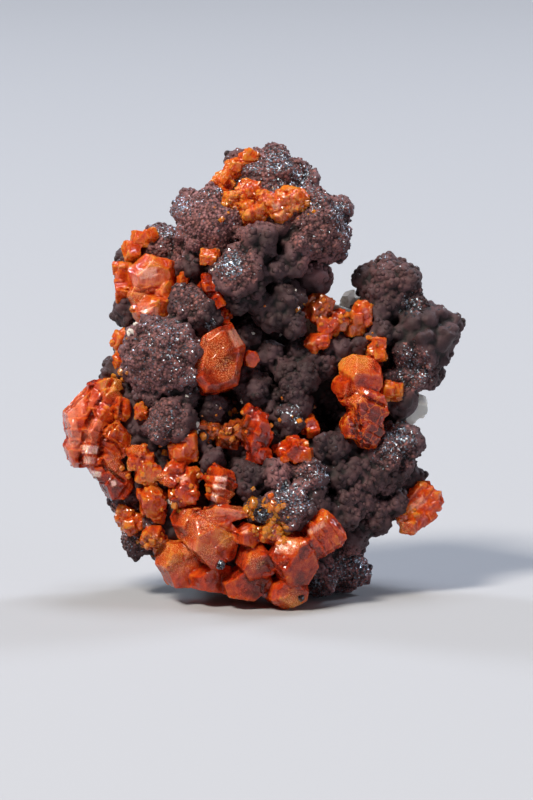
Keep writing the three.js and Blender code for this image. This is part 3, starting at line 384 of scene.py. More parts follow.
def hematite_material():
    """Botryoidal hematite: a matt, velvety purple-brown skin of small buds. Where it is granular it is
    made of fine reddish and black grains, with tiny steely crystal faces that each shine their own way.
    Painted shade darkens it nearly to black in the gaps between buds and grains and in its hollows."""
    material, tree = new_material("botryoidal hematite")
    at = add(tree, "TexCoord").outputs["Object"]
    glitter, granular, budded, rusty, hollow = (
        add(tree, "Attribute", attribute_name=name).outputs["Fac"]
        for name in ("glitter", "granular", "budded", "rusty", "hollow"))
    cloud = add(tree, "TexNoise", {"Vector": at, "Scale": per_mm(2.4), "Detail": 4.0})
    grit = add(tree, "TexNoise", {"Vector": at, "Scale": per_mm(0.16), "Detail": 3.0, "Roughness": 0.65})
    bud = add(tree, "TexVoronoi", {"Vector": at, "Scale": per_mm(0.55), "Smoothness": 0.15},
              feature="SMOOTH_F1")
    grain = add(tree, "TexVoronoi", {"Vector": at, "Scale": per_mm(0.3), "Randomness": 1.0})
    pick = add(tree, "SeparateColor", {"Color": grain.outputs["Color"]})
    flake = add(tree, "TexVoronoi", {"Vector": at, "Scale": per_mm(0.13), "Randomness": 1.0})
    chosen = add(tree, "SeparateColor", {"Color": flake.outputs["Color"]})

    tone = add(tree, "ValToRGB", {"Fac": cloud.outputs["Fac"]})
    tone.color_ramp.elements[0].position = 0.35
    tone.color_ramp.elements[0].color = colour("#332325")
    tone.color_ramp.elements[1].position = 0.68
    tone.color_ramp.elements[1].color = colour("#543c40")
    rusted = add(tree, "Mix", {"Factor": rusty, "A": tone.outputs["Color"], "B": colour("#9c6a6b")},
                 data_type="RGBA")
    # how far down each point lies between the buds or between the grains
    bud_height = add(tree, "MapRange", {"Value": budded, "To Min": 0.3, "To Max": 0.7})
    bud_dip = add(tree, "Math", {0: bud.outputs["Distance"], 1: bud_height.outputs["Result"]},
                  operation="MULTIPLY")
    dip = add(tree, "Mix", {"Factor": granular, "A": bud_dip.outputs["Value"],
                            "B": grain.outputs["Distance"]})
    # reddish earthy grains among the dark ones, where it is granular
    red_share = add(tree, "MapRange", {"Value": granular, "From Min": 0.2, "To Min": 0.0, "To Max": 0.3})
    is_red = add(tree, "Math", {0: pick.outputs["Green"], 1: red_share.outputs["Result"]},
                 operation="LESS_THAN")
    reddish = add(tree, "Mix", {"Factor": is_red.outputs["Value"], "A": rusted.outputs["Result"],
                                "B": colour("#96625e")}, data_type="RGBA")
    # painted shade: the gaps between buds and grains, and the hollows, are darkened nearly to black
    gap = add(tree, "MapRange", {"Value": dip.outputs["Result"], "From Min": 0.3, "From Max": 0.66,
                                 "To Min": 0.0, "To Max": 0.7})
    deepest = add(tree, "MapRange", {"Value": hollow, "To Min": 0.0, "To Max": 0.95})
    dark = add(tree, "Math", {0: gap.outputs["Result"], 1: deepest.outputs["Result"]}, operation="MAXIMUM")
    with_painted_shade = add(tree, "Mix", {"Factor": dark.outputs["Value"], "A": reddish.outputs["Result"],
                               "B": colour("#0e0809")}, data_type="RGBA")
    # steely faces
    share = add(tree, "MapRange", {"Value": glitter, "To Min": 0.0, "To Max": 0.5})
    is_steel = add(tree, "Math", {0: chosen.outputs["Red"], 1: share.outputs["Result"]},
                   operation="LESS_THAN")
    base = add(tree, "Mix", {"Factor": is_steel.outputs["Value"], "A": with_painted_shade.outputs["Result"],
                             "B": colour("#93a1ae")}, data_type="RGBA")
    gloss = add(tree, "MapRange", {"Value": is_steel.outputs["Value"], "To Min": 0.6, "To Max": 0.3})
    round_top = add(tree, "Math", {0: dip.outputs["Result"], 1: dip.outputs["Result"]}, operation="MULTIPLY")
    relief = add(tree, "Math", {0: grit.outputs["Fac"], 1: 0.35, 2: round_top.outputs["Value"]},
                 operation="MULTIPLY_ADD")
    bump = add(tree, "Bump", {"Height": relief.outputs["Value"], "Strength": 1.0, "Distance": 0.22 * MM},
               invert=True)
    # each steely face is turned its own way
    way = add(tree, "VectorMath", {0: flake.outputs["Color"], 1: (0.5, 0.5, 0.5)}, operation="SUBTRACT")
    lean = add(tree, "VectorMath", {0: way.outputs["Vector"], 1: (1.5, 1.5, 1.5),
                                    2: bump.outputs["Normal"]}, operation="MULTIPLY_ADD")
    turned = add(tree, "VectorMath", {0: lean.outputs["Vector"]}, operation="NORMALIZE")
    normal = add(tree, "Mix", {"Factor": is_steel.outputs["Value"], "A": bump.outputs["Normal"],
                               "B": turned.outputs["Vector"]}, data_type="VECTOR")
    shader = add(tree, "BsdfPrincipled", {
        "Base Color": base.outputs["Result"], "Roughness": gloss.outputs["Result"],
        "Metallic": is_steel.outputs["Value"], "Normal": normal.outputs["Result"],
        "Specular IOR Level": 0.3,
        "Sheen Weight": 0.06, "Sheen Roughness": 0.5, "Sheen Tint": colour("#c8a8a8")})
    add(tree, "OutputMaterial", {"Surface": shader.outputs["BSDF"]})
    return material


def steel_material():
    """Specular hematite: thin plates that shine like blue-grey steel."""
    material, tree = new_material("specular hematite")
    at = add(tree, "TexCoord").outputs["Object"]
    cloud = add(tree, "TexNoise", {"Vector": at, "Scale": per_mm(0.9), "Detail": 2.0})
    tone = add(tree, "ValToRGB", {"Fac": cloud.outputs["Fac"]})
    tone.color_ramp.elements[0].position = 0.35
    tone.color_ramp.elements[0].color = colour("#77828e")
    tone.color_ramp.elements[1].position = 0.65
    tone.color_ramp.elements[1].color = colour("#b9c6d2")
    shader = add(tree, "BsdfPrincipled", {
        "Base Color": tone.outputs["Color"], "Metallic": 1.0, "Roughness": 0.26})
    add(tree, "OutputMaterial", {"Surface": shader.outputs["BSDF"]})
    return material


def durangite_material():
    """Durangite: a translucent orange-red crystal, glassy where its faces are whole, with fine golden
    dust on some faces and painted whitish highlights on others."""
    material, tree = new_material("translucent durangite")
    at = add(tree, "TexCoord").outputs["Object"]
    warmth, painted_highlight, dust, amber, veined = (
        add(tree, "Attribute", attribute_name=name).outputs["Fac"]
        for name in ("warmth", "painted_highlight", "dust", "amber", "veined"))
    cloud = add(tree, "TexNoise", {"Vector": at, "Scale": per_mm(1.3), "Detail": 4.0, "Roughness": 0.6})
    veil = add(tree, "TexNoise", {"Vector": at, "Scale": per_mm(0.22), "Detail": 4.0, "Roughness": 0.7})
    specks = add(tree, "TexNoise", {"Vector": at, "Scale": per_mm(0.11), "Detail": 3.0, "Roughness": 0.65})
    wander = add(tree, "VectorMath", {0: cloud.outputs["Color"], 1: (2.2 * MM, 2.2 * MM, 2.2 * MM), 2: at},
                 operation="MULTIPLY_ADD")
    cells = add(tree, "TexVoronoi", {"Vector": wander.outputs["Vector"], "Scale": per_mm(1.1)})
    cracks = add(tree, "TexVoronoi", {"Vector": wander.outputs["Vector"], "Scale": per_mm(1.1)},
                 feature="DISTANCE_TO_EDGE")
    sway = add(tree, "Math", {0: cloud.outputs["Fac"], 1: 0.5}, operation="SUBTRACT")
    swayed = add(tree, "Math", {0: sway.outputs["Value"], 1: 1.5, 2: warmth}, operation="MULTIPLY_ADD")
    flecks = add(tree, "Math", {0: veil.outputs["Fac"], 1: 0.5}, operation="SUBTRACT")
    flecked = add(tree, "Math", {0: flecks.outputs["Value"], 1: 0.5, 2: swayed.outputs["Value"]},
                  operation="MULTIPLY_ADD")
    # where it is veined the crystal is a mosaic of deeper and paler grains, with bright seams between
    grain = add(tree, "SeparateColor", {"Color": cells.outputs["Color"]})
    seam = add(tree, "MapRange", {"Value": cracks.outputs["Distance"], "From Min": 0.0, "From Max": 0.1,
                                  "To Min": 0.45, "To Max": -0.2})
    tinted = add(tree, "Math", {0: grain.outputs["Red"], 1: 0.3, 2: seam.outputs["Result"]},
                 operation="MULTIPLY_ADD")
    mixed = add(tree, "Math", {0: tinted.outputs["Value"], 1: veined, 2: flecked.outputs["Value"]},
                operation="MULTIPLY_ADD")
    body = add(tree, "ValToRGB", {"Fac": mixed.outputs["Value"]})
    ramp = body.color_ramp
    ramp.elements[0].position = 0.0
    ramp.elements[0].color = colour("#600c04")
    ramp.elements[1].position = 1.0
    ramp.elements[1].color = colour("#ff9430")
    for position, code in ((0.25, "#9a1b05"), (0.5, "#d83a08"), (0.75, "#f46212")):
        ramp.elements.new(position).color = colour(code)
    browned = add(tree, "ValToRGB", {"Fac": mixed.outputs["Value"]})
    browned.color_ramp.elements[0].color = colour("#4a1a08")
    browned.color_ramp.elements[1].color = colour("#dc6c26")
    toned = add(tree, "Mix", {"Factor": amber, "A": body.outputs["Color"],
                              "B": browned.outputs["Color"]}, data_type="RGBA")
    dusty_at = add(tree, "MapRange", {"Value": specks.outputs["Fac"], "From Min": 0.42, "From Max": 0.66,
                                      "To Max": 0.9})
    dusting = add(tree, "Math", {0: dusty_at.outputs["Result"], 1: dust}, operation="MULTIPLY")
    dusted = add(tree, "Mix", {"Factor": dusting.outputs["Value"], "A": toned.outputs["Result"],
                               "B": colour("#f0a468")}, data_type="RGBA")
    highlight_at = add(tree, "MapRange", {"Value": veil.outputs["Fac"], "From Min": 0.3, "From Max": 0.5,
                                      "To Min": 0.55, "To Max": 1.0})
    highlight_strength = add(tree, "Math", {0: highlight_at.outputs["Result"], 1: painted_highlight}, operation="MULTIPLY")
    # painted highlight: a faint one is peach, a strong one nearly white
    pale = add(tree, "Mix", {"Factor": highlight_strength.outputs["Value"], "A": colour("#f59a62"),
                             "B": colour("#ffdccf")}, data_type="RGBA")
    highlighted = add(tree, "Mix", {"Factor": highlight_strength.outputs["Value"], "A": dusted.outputs["Result"],
                                "B": pale.outputs["Result"]}, data_type="RGBA")
    gloss = add(tree, "MapRange", {"Value": dusting.outputs["Value"], "To Min": 0.12, "To Max": 0.45})
    bump = add(tree, "Bump", {"Height": veil.outputs["Fac"], "Strength": 0.35, "Distance": 0.04 * MM})
    # under a painted highlight the crystal is less see-through
    clear = add(tree, "MapRange", {"Value": highlight_strength.outputs["Value"], "To Min": 0.4, "To Max": 0.0})
    shader = add(tree, "BsdfPrincipled", {
        "Base Color": highlighted.outputs["Result"], "Roughness": gloss.outputs["Result"],
        "Normal": bump.outputs["Normal"], "IOR": 1.66, "Specular IOR Level": 0.3,
        "Subsurface Weight": 0.4, "Subsurface Radius": (1.0, 0.2, 0.05), "Subsurface Scale": 0.9 * MM,
        "Transmission Weight": clear.outputs["Result"]})
    add(tree, "OutputMaterial", {"Surface": shader.outputs["BSDF"]})
    return material


def host_rock_material():
    """Pale volcanic host rock: broken, chalky to slightly translucent, with rusty stains and dark specks,
    and whiter where it is clean."""
    material, tree = new_material("pale host rock")
    at = add(tree, "TexCoord").outputs["Object"]
    clean, hollow = (
        add(tree, "Attribute", attribute_name=name).outputs["Fac"] for name in ("clean", "hollow"))
    cloud = add(tree, "TexNoise", {"Vector": at, "Scale": per_mm(2.2), "Detail": 6.0, "Roughness": 0.6})
    drift = add(tree, "TexNoise", {"Vector": at, "Scale": per_mm(6.0), "Detail": 8.0, "Roughness": 0.7})
    fleck = add(tree, "TexNoise", {"Vector": at, "Scale": per_mm(0.5), "Detail": 2.0, "Roughness": 0.5})
    tone = add(tree, "ValToRGB", {"Fac": cloud.outputs["Fac"]})
    ramp = tone.color_ramp
    ramp.elements[0].position = 0.3
    ramp.elements[0].color = colour("#8f7f6c")
    ramp.elements[1].position = 0.7
    ramp.elements[1].color = colour("#d9cfc0")
    ramp.elements.new(0.44).color = colour("#b8aa97")
    stain = add(tree, "MapRange", {"Value": drift.outputs["Fac"], "From Min": 0.5, "From Max": 0.66,
                                   "To Min": 0.0, "To Max": 0.75})
    stained = add(tree, "Mix", {"Factor": stain.outputs["Result"], "A": tone.outputs["Color"],
                                "B": colour("#9a5f3a")}, data_type="RGBA")
    speck = add(tree, "MapRange", {"Value": fleck.outputs["Fac"], "From Min": 0.64, "From Max": 0.68,
                                   "To Min": 0.0, "To Max": 0.8})
    specked = add(tree, "Mix", {"Factor": speck.outputs["Result"], "A": stained.outputs["Result"],
                                "B": colour("#4a3a36")}, data_type="RGBA")
    # darker and browner down in its hollows
    darker_in_hollows = add(tree, "Mix", {"Factor": hollow, "A": specked.outputs["Result"], "B": colour("#5c4a40")},
                data_type="RGBA")
    white = add(tree, "Mix", {"Factor": clean, "A": darker_in_hollows.outputs["Result"], "B": colour("#f8f4ec")},
                data_type="RGBA")
    grit = add(tree, "TexNoise", {"Vector": at, "Scale": per_mm(0.35), "Detail": 4.0})
    bump = add(tree, "Bump", {"Height": grit.outputs["Fac"], "Strength": 0.5, "Distance": 0.12 * MM})
    shader = add(tree, "BsdfPrincipled", {
        "Base Color": white.outputs["Result"], "Roughness": 0.6, "Normal": bump.outputs["Normal"],
        "Subsurface Weight": 0.2, "Subsurface Radius": (1.0, 0.9, 0.8), "Subsurface Scale": 0.5 * MM})
    add(tree, "OutputMaterial", {"Surface": shader.outputs["BSDF"]})
    return material


def floor_material():
    """A plain pale studio floor."""
    material, tree = new_material("pale floor")
    shader = add(tree, "BsdfPrincipled", {"Base Color": colour("#a4a7ac"), "Roughness": 0.9})
    add(tree, "OutputMaterial", {"Surface": shader.outputs["BSDF"]})
    return material


# The hematite


def grow_domes(piece, draw, chance, trials, least, most, sunk, apart, subdivisions):
    """Adds half-buried balls to a piece, where chance gives the odds of one at each place: the radii go
    from least to most, and how deep they sit and how far apart they keep are shares of the radius."""
    spots, outward = surface_points(piece, trials, draw)
    radii = (least + (most - least) * draw.random(len(spots)) ** MOSTLY_SMALL) * MM
    keep = draw.random(len(spots)) < chance(spots)
    spots, outward, radii = spots[keep], outward[keep], radii[keep]
    kept = kept_apart(spots, radii * apart)
    spots, outward, radii = spots[kept], outward[kept], radii[kept]
    bpy.ops.mesh.primitive_ico_sphere_add(subdivisions=subdivisions, radius=1)
    centres = spots - outward * (radii * sunk)[:, None]
    domes = copies("domes", bpy.context.object, centres, facing(outward, draw), radii)
    return joined([piece, domes])


def hematite_skin():
    """The solid's knobs made round, with lobes and buds grown over them and grains on the granular
    knobs, all as one skin."""
    draw = np.random.default_rng(11)
    piece = copy_of("hematite", "hematite_skin")
    remesh(piece, KNOB_VOXEL)
    apply_modifier(piece, "SMOOTH", factor=0.5, iterations=6)
    displace(piece, None, SWELL, middle=0.0)

    # lobes
    piece = grow_domes(
        piece, draw, lambda spots: 1 - near_marks(spots, BARE) - 0.93 * near_marks(spots, GRANULAR),
        trials=14000, least=0.5, most=1.05, sunk=0.35, apart=1.4, subdivisions=3)
    remesh(piece, LOBE_VOXEL)
    # buds
    piece = grow_domes(
        piece, draw, lambda spots: 1 - near_marks(spots, GRANULAR + BARE) - 0.9 * near_marks(spots, LOBED),
        trials=30000, least=0.3, most=0.5, sunk=0.35, apart=1.35, subdivisions=2)
    # grains
    piece = grow_domes(
        piece, draw, lambda spots: near_marks(spots, GRANULAR) - near_marks(spots, BARE),
        trials=30000, least=0.22, most=0.42, sunk=0.5, apart=1.5, subdivisions=2)
    remesh(piece, BUD_VOXEL)
    displace(piece, pattern("grit", "CLOUDS", 0.4, noise_depth=1), 0.08)
    mark_plain(piece)
    apply_modifier(piece, "DECIMATE", ratio=SKIN_TRIANGLES / len(piece.data.loop_triangles),
                   vertex_group="plain", vertex_group_factor=1.0)
    stand_on_floor(piece)
    return piece


def mark_plain(piece):
    """Marks what may be thinned most, which is all that doesn't face the front, in a vertex group."""
    _, _, normals = arrays(piece)
    group = piece.vertex_groups.new(name="plain")
    weights = 0.2 + 0.45 * smooth(-0.4, 0.3, normals[:, 1])
    levels = 10
    for level in range(levels):
        chosen = np.flatnonzero((weights * levels).astype(int).clip(0, levels - 1) == level)
        group.add(chosen.tolist(), (level + 0.5) / levels, "REPLACE")


def granular_look(piece):
    """Stores where the piece is granular, budded and rusty, and how much it glitters."""
    points, _, normals = arrays(piece)
    granular = near_marks(points, GRANULAR)
    up = normals[:, 2]
    attribute(piece, "granular", granular)
    attribute(piece, "budded", near_marks(points, BUDDED))
    attribute(piece, "rusty", near_marks(points, RUSTY))
    glitter = (0.12 * granular + 0.9 * near_marks(points, SILVERY)) * (0.4 + 0.6 * smooth(-0.3, 0.7, up))
    attribute(piece, "glitter", glitter + 0.12 * smooth(0.6, 1, up))


def scattered(name, template, skin, draw, chance, sizes, trials, sunk, apart, lean):
    """Copies of a small thing spread over the skin, as one piece: how deep they sit and how far apart
    they keep are shares of their size, and lean is how far they tilt at random."""
    spots, outward = surface_points(skin, trials, draw)
    keep = draw.random(len(spots)) < chance(spots, outward)
    spots, outward = spots[keep], outward[keep]
    sizes = sizes(len(spots)) * MM
    kept = kept_apart(spots, sizes.reshape(len(spots), -1)[:, 0] * apart)
    spots, outward, sizes = spots[kept], outward[kept], sizes[kept]
    depth = sizes.reshape(len(spots), -1)[:, :1] * sunk
    turns = facing(outward + lean * draw.normal(size=outward.shape), draw)
    return copies(name, template, spots - outward * depth, turns, sizes)


def make_hematite(hematite, steel):
    """The skin, the grapes on its smooth parts, the grains on its rough knobs, and the steely plates
    that catch the light."""
    draw = np.random.default_rng(12)
    skin = hematite_skin()
    granular_look(skin)
    # painted shade: how far the skin lies down between its buds and between its knobs darkens its colour
    between_buds = smooth(0.0, 0.07, sinking(skin, rounds=8))
    between_knobs = 0.9 * smooth(0.04, 0.4, sinking(skin, rounds=90))
    attribute(skin, "hollow", np.maximum(between_buds, between_knobs))

    bpy.ops.mesh.primitive_ico_sphere_add(subdivisions=2, radius=1)
    grapes = scattered(
        "hematite_grapes", bpy.context.object, skin, draw,
        chance=lambda spots, outward: (1 - near_marks(spots, GRANULAR))
        * (1 - smooth(-0.1, 0.6, outward[:, 1])) * (0.25 + 0.75 * near_marks(spots, BUDDED))
        * (1 - near_marks(spots, LOBED + BARE)),
        sizes=lambda count: 0.2 + 0.2 * draw.random(count) ** 1.4,
        trials=26000, sunk=0.5, apart=1.45, lean=0.1)
    for polygon in grapes.data.polygons:
        polygon.use_smooth = True
    granular_look(grapes)

    bpy.ops.mesh.primitive_ico_sphere_add(subdivisions=1, radius=1)
    grains = scattered(
        "hematite_grains", bpy.context.object, skin, draw,
        chance=lambda spots, outward: near_marks(spots, GRANULAR) * 0.5,
        sizes=lambda count: 0.11 + 0.09 * draw.random((count, 3)),
        trials=60000, sunk=0.2, apart=1.3, lean=0.3)
    granular_look(grains)

    # the plates stand proud of the skin
    bpy.ops.mesh.primitive_cylinder_add(vertices=6, radius=1, depth=0.4)
    plates = scattered(
        "specular_plates", bpy.context.object, skin, draw,
        chance=lambda spots, outward: near_marks(spots, SILVERY) * smooth(-0.3, 0.9, outward[:, 2]) * 0.3,
        sizes=lambda count: 0.035 + 0.05 * draw.random(count),
        trials=60000, sunk=-0.9, apart=1.1, lean=0.7)

    for piece in (grapes, grains, plates):
        stand_on_floor(piece)
    finished(skin, hematite, "hematite", "hematite")
    finished(grapes, hematite, "hematite")
    finished(grains, hematite, "hematite")
    finished(plates, steel, "hematite")
    return skin


# The crystals of durangite

# How each crystal piece looks: warmth from deep red to yellow-orange, dust, sugariness
CRYSTAL_LOOKS = {
    "rim_crust": (0.84, 0.6, 1.0), "crown": (0.78, 0.6, 0.9), "under_lobe": (0.84, 0.5, 0.9),
    "left_rim": (0.74, 0.4, 0.7), "left_edge_upper": (0.68, 0.4, 0.6), "left_block": (0.66, 0.5, 0.25),
    "left_block_chip": (0.6, 0.3, 0.5), "left_edge_lower": (0.7, 0.5, 0.6),
    "inner_dark": (0.42, 0.2, 0.5), "inner_brown": (0.5, 0.5, 0.8), "hexagonal": (0.5, 0.2, 0.1),
    "left_fan": (0.42, 0.5, 0.25), "left_grain": (0.72, 0.5, 0.8), "two_lobed": (0.62, 0.5, 0.7),
    "lower_left_upright": (0.6, 0.4, 0.7), "lower_left_edge": (0.74, 0.4, 0.8),
    "cubic": (0.62, 0.4, 0.3), "left_trio": (0.52, 0.4, 0.5), "shadow": (0.4, 0.5, 0.8),
    "tall": (0.36, 0.2, 0.3), "dome": (0.48, 0.2, 0.4), "grain": (0.55, 0.2, 0.4),
    "notch_grain": (0.6, 0.4, 0.8), "notch": (0.5, 0.4, 0.7), "notch_right": (0.66, 0.4, 0.6),
    "right_grain": (0.72, 0.5, 0.9), "right_tall": (0.42, 0.5, 0.2), "right_plate": (0.78, 0.4, 0.3),
    "base": (0.42, 0.5, 0.25), "lower_left_brown": (0.5, 0.5, 0.8), "back_upper": (0.52, 0.4, 0.4),
    "back_left": (0.5, 0.4, 0.4), "back_lower": (0.5, 0.4, 0.4), "tabular": (0.3, 0.6, 0.0),
    "corner_plate": (0.56, 0.3, 0.4),
}

# Crystals that grew in rungs: across, up, reach, the way they grew in degrees, spacing, height
RUNGS = [
    (-14.4, 15.4, 3.4, 75, 0.95, 0.14), (-13.2, 10.6, 2.0, -40, 1.3, 0.08), (-3.7, 10.6, 2.2, 75, 0.8, 0.2),
    (9.0, 16.2, 2.8, 70, 0.8, 0.08), (5.2, 6.8, 2.6, 40, 0.8, 0.1), (13.6, 8.8, 2.4, -50, 0.9, 0.1),
    (-0.6, 15.4, 2.2, 80, 0.9, 0.06),
]

# Faces with a painted whitish highlight: across, up, half their width and height, turn in degrees, strength
PAINTED_HIGHLIGHT_FACES = [
    (-14.6, 15.3, 0.6, 1.0, -15, 0.35), (-14.8, 13.7, 0.7, 0.36, -5, 0.95), (-14.9, 12.8, 0.5, 0.3, -5, 0.8),
    (-14.35, 11.6, 0.45, 0.25, -8, 1.0), (-12.8, 10.8, 0.2, 0.25, 20, 0.9),
    (-16.5, 16.0, 0.5, 2.4, 10, 0.4),
    (-3.55, 11.2, 0.5, 0.22, -4, 0.95), (-3.7, 10.55, 0.55, 0.22, -4, 0.8), (-4.1, 9.6, 0.28, 0.36, -15, 0.9),
    (-3.8, 9.95, 0.5, 0.12, -6, 0.5),
    (-9.9, 28.9, 0.8, 0.45, 10, 0.7), (-9.7, 25.4, 0.7, 0.6, 0, 0.6), (-9.8, 27.9, 1.4, 0.9, 8, 0.3),
    (-16.2, 14.2, 0.7, 1.1, -20, 0.3), (-15.9, 17.6, 0.5, 1.2, 20, 0.3), (1.6, 33.8, 0.5, 0.4, 10, 0.35),
    (-2.4, 36.0, 0.5, 0.4, 0, 0.35), (3.0, 34.4, 0.5, 0.4, 0, 0.3), (-1.1, 34.0, 0.4, 0.4, 0, 0.3),
    (-10.2, 25.9, 0.5, 0.5, 0, 0.35), (-6.0, 5.2, 0.9, 0.5, 30, 0.25), (-2.9, 8.4, 1.2, 0.25, -12, 0.4),
    (-2.3, 23.3, 0.4, 0.8, 25, 0.5), (1.2, 34.6, 0.35, 0.3, 20, 0.6), (-2.5, 34.3, 0.4, 0.25, 30, 0.9),
    (13.4, 8.9, 0.8, 0.35, 35, 0.5),
    (-6.9, 11.2, 0.5, 0.25, 25, 0.7), (4.6, 7.0, 0.8, 0.25, 30, 0.6), (-1.5, 6.9, 0.25, 0.3, 0, 0.7),
    (2.0, 5.6, 0.8, 0.7, -10, 0.35), (9.6, 25.0, 0.3, 0.3, 0, 0.4), (7.0, 24.3, 0.3, 0.35, 0, 0.5),
]

# Golden, dusty patches: across, up, reach
GOLD_MARKS = [
    (-3.2, 6.0, 0.9), (-7.4, 4.6, 2.0), (-0.6, 4.2, 0.9), (2.2, 5.9, 1.2), (2.6, 0.9, 1.0),
    (8.2, 21.6, 1.8), (12.2, 7.0, 0.9), (-10.9, 27.0, 0.9), (-4.6, 22.4, 2.0), (-5.4, 7.6, 1.9),
    (-12.6, 19.2, 1.3), (-12.4, 12.4, 1.2), (-2.2, 9.4, 1.1), (-4.6, 4.8, 1.0), (7.8, 18.4, 1.0),
    (-3.2, 20.6, 1.2), (-8.6, 11.0, 0.9), (-10.8, 14.0, 0.8),
]

# Places of another warmth than their crystal: across, up, reach, warmth. They are partly the crystals' own
# colour and partly painted: on the base, below 7 up, deeper red stands for shade and brighter orange for glow
WARM_MARKS = [
    (-15.4, 18.0, 1.3, 0.62), (-12.9, 19.6, 1.8, 0.85), (-11.6, 15.6, 1.6, 0.62), (-13.4, 10.4, 2.2, 0.12),
    (-7.4, 8.6, 1.2, 0.16), (9.3, 15.2, 2.4, 0.14), (7.8, 21.2, 2.0, 0.8),
    (9.8, 19.8, 1.0, 0.6), (-4.4, 3.2, 1.4, 0.3), (0.6, 3.8, 1.6, 0.22), (4.2, 4.6, 1.5, 0.3),
    (2.4, 0.9, 1.4, 0.7), (-0.6, 1.9, 1.3, 0.24), (0.9, 4.9, 1.0, 0.25), (-5.4, 2.0, 1.1, 0.3),
    (-3.3, 6.3, 1.0, 0.92), (-7.7, 5.0, 1.5, 0.7), (-4.9, 5.4, 1.0, 0.55), (-2.2, 4.0, 1.1, 0.2),
    (3.3, 2.6, 1.0, 0.2), (-1.1, 6.5, 1.0, 0.36), (-7.6, 10.6, 1.0, 0.42), (-2.6, 10.2, 1.1, 0.3),
    (4.9, 8.2, 0.9, 0.6),
]

# Amber-brown crystals: across, up, reach
AMBER_MARKS = [
    (5.0, 26.4, 1.9), (-3.2, 15.8, 2.4), (-9.6, 5.6, 1.3), (-0.6, 8.6, 1.4), (-2.0, 9.4, 1.0),
    (7.9, 24.2, 1.0), (4.6, 12.6, 1.4), (-10.6, 27.2, 0.5),
]

# Where a crystal is a mosaic of grains with bright seams: across, up, reach, strength
VEINED = [(9.0, 15.6, 3.6, 1.0), (-13.0, 16.0, 2.4, 0.4), (6.0, 6.6, 2.2, 0.4), (-9.4, 26.6, 2.6, 0.35)]

# Furrows between crystals that grew side by side: their course as across and up, width, depth
FURROWS = [
    (((-12.9, 19.6), (-14.2, 17.6), (-15.0, 16.1), (-15.5, 14.2), (-15.6, 12.2)), 0.3, 0.45),
    (((-11.8, 19.0), (-12.2, 16.4), (-13.6, 14.8), (-14.0, 13.2), (-13.4, 11.9)), 0.28, 0.4),
    (((-15.4, 12.2), (-13.6, 12.3), (-11.9, 10.9)), 0.22, 0.3),
    (((-13.6, 14.6), (-12.6, 14.2), (-11.6, 12.6)), 0.2, 0.25),
    (((6.4, 17.9), (8.0, 18.6), (10.6, 17.4)), 0.22, 0.25), (((8.2, 17.6), (8.6, 13.6)), 0.18, 0.22),
    (((-12.2, 27.6), (-10.6, 27.3), (-8.6, 27.8)), 0.2, 0.25), (((-11.4, 25.6), (-9.2, 26.2)), 0.18, 0.2),
    (((-6.2, 8.8), (-3.4, 7.0), (-2.2, 6.4)), 0.22, 0.2),
    (((-13.2, 21.0), (-14.9, 18.9), (-15.3, 16.9)), 0.2, 0.3),
]


def crystal_block(bevel=0.35):
    """A small block with bevelled edges."""
    bpy.ops.object.select_all(action="DESELECT")
    bpy.ops.mesh.primitive_cube_add(size=2)
    bpy.ops.object.mode_set(mode="EDIT")
    bpy.ops.mesh.bevel(offset=bevel, segments=1)
    bpy.ops.object.mode_set(mode="OBJECT")
    return bpy.context.object


def grow_blocks(piece, draw, sunk=0.7):
    """Adds larger blocks, mostly sunk and turned nearly alike, so that a crystal is an uneven bundle."""
    spots, outward = surface_points(piece, int(area_of(piece) * BLOCKS_PER_MM2) + 1, draw)
    size = (0.3 + 0.35 * draw.random(len(spots)) ** MOSTLY_SMALL) * MM
    kept = kept_apart(spots, size * 2.4)
    spots, outward, size = spots[kept], outward[kept], size[kept]
    shape = size[:, None] * (0.75 + 0.5 * draw.random((len(size), 3)))
    way = draw.normal(size=3) + 0.2 * draw.normal(size=outward.shape)
    blocks = copies("blocks", crystal_block(bevel=0.12), spots - outward * sunk * size[:, None],
                    facing(way, draw, spread=0.25), shape)
    return joined([piece, blocks])


def grow_sugar(piece, sugar, draw, sunk=0.45):
    """Adds small blocks turned every way, half sunk in the faces, where a crystal is sugary."""
    spots, outward = surface_points(piece, int(area_of(piece) * SUGAR_PER_MM2 * sugar), draw)
    size = (0.12 + 0.2 * draw.random(len(spots)) ** MOSTLY_SMALL) * MM
    kept = kept_apart(spots, size * 1.5)
    spots, outward, size = spots[kept], outward[kept], size[kept]
    shape = size[:, None] * (0.7 + 0.5 * draw.random((len(size), 3)))
    turns = facing(outward + 0.5 * draw.normal(size=outward.shape), draw)
    blocks = copies("blocks", crystal_block(), spots - outward * sunk * size[:, None], turns, shape)
    return joined([piece, blocks])


def cut_rungs(piece):
    """Steps across the crystals that grew in rungs, slightly bent, each a long slope and a short drop."""
    slope, drop, bend = 0.85, 0.15, 0.08
    vertices, _, normals = arrays(piece)
    view = seen(vertices)
    rise = np.zeros(len(vertices))
    for across, up, reach, angle, spacing, height in RUNGS:
        x, y = view[:, 0] - across, view[:, 1] - up
        turn = math.radians(angle)
        beside = x * math.sin(turn) - y * math.cos(turn)
        along = x * math.cos(turn) + y * math.sin(turn) + bend * beside ** 2
        step = np.mod(along / spacing, 1)
        step = np.where(step < slope, step / slope, (1 - step) / drop)
        rise += (step - 0.5) * height * (1 - smooth(0.7 * reach, reach, np.hypot(x, y)))
    vertices += normals * rise[:, None] * MM
    move_vertices(piece, vertices)


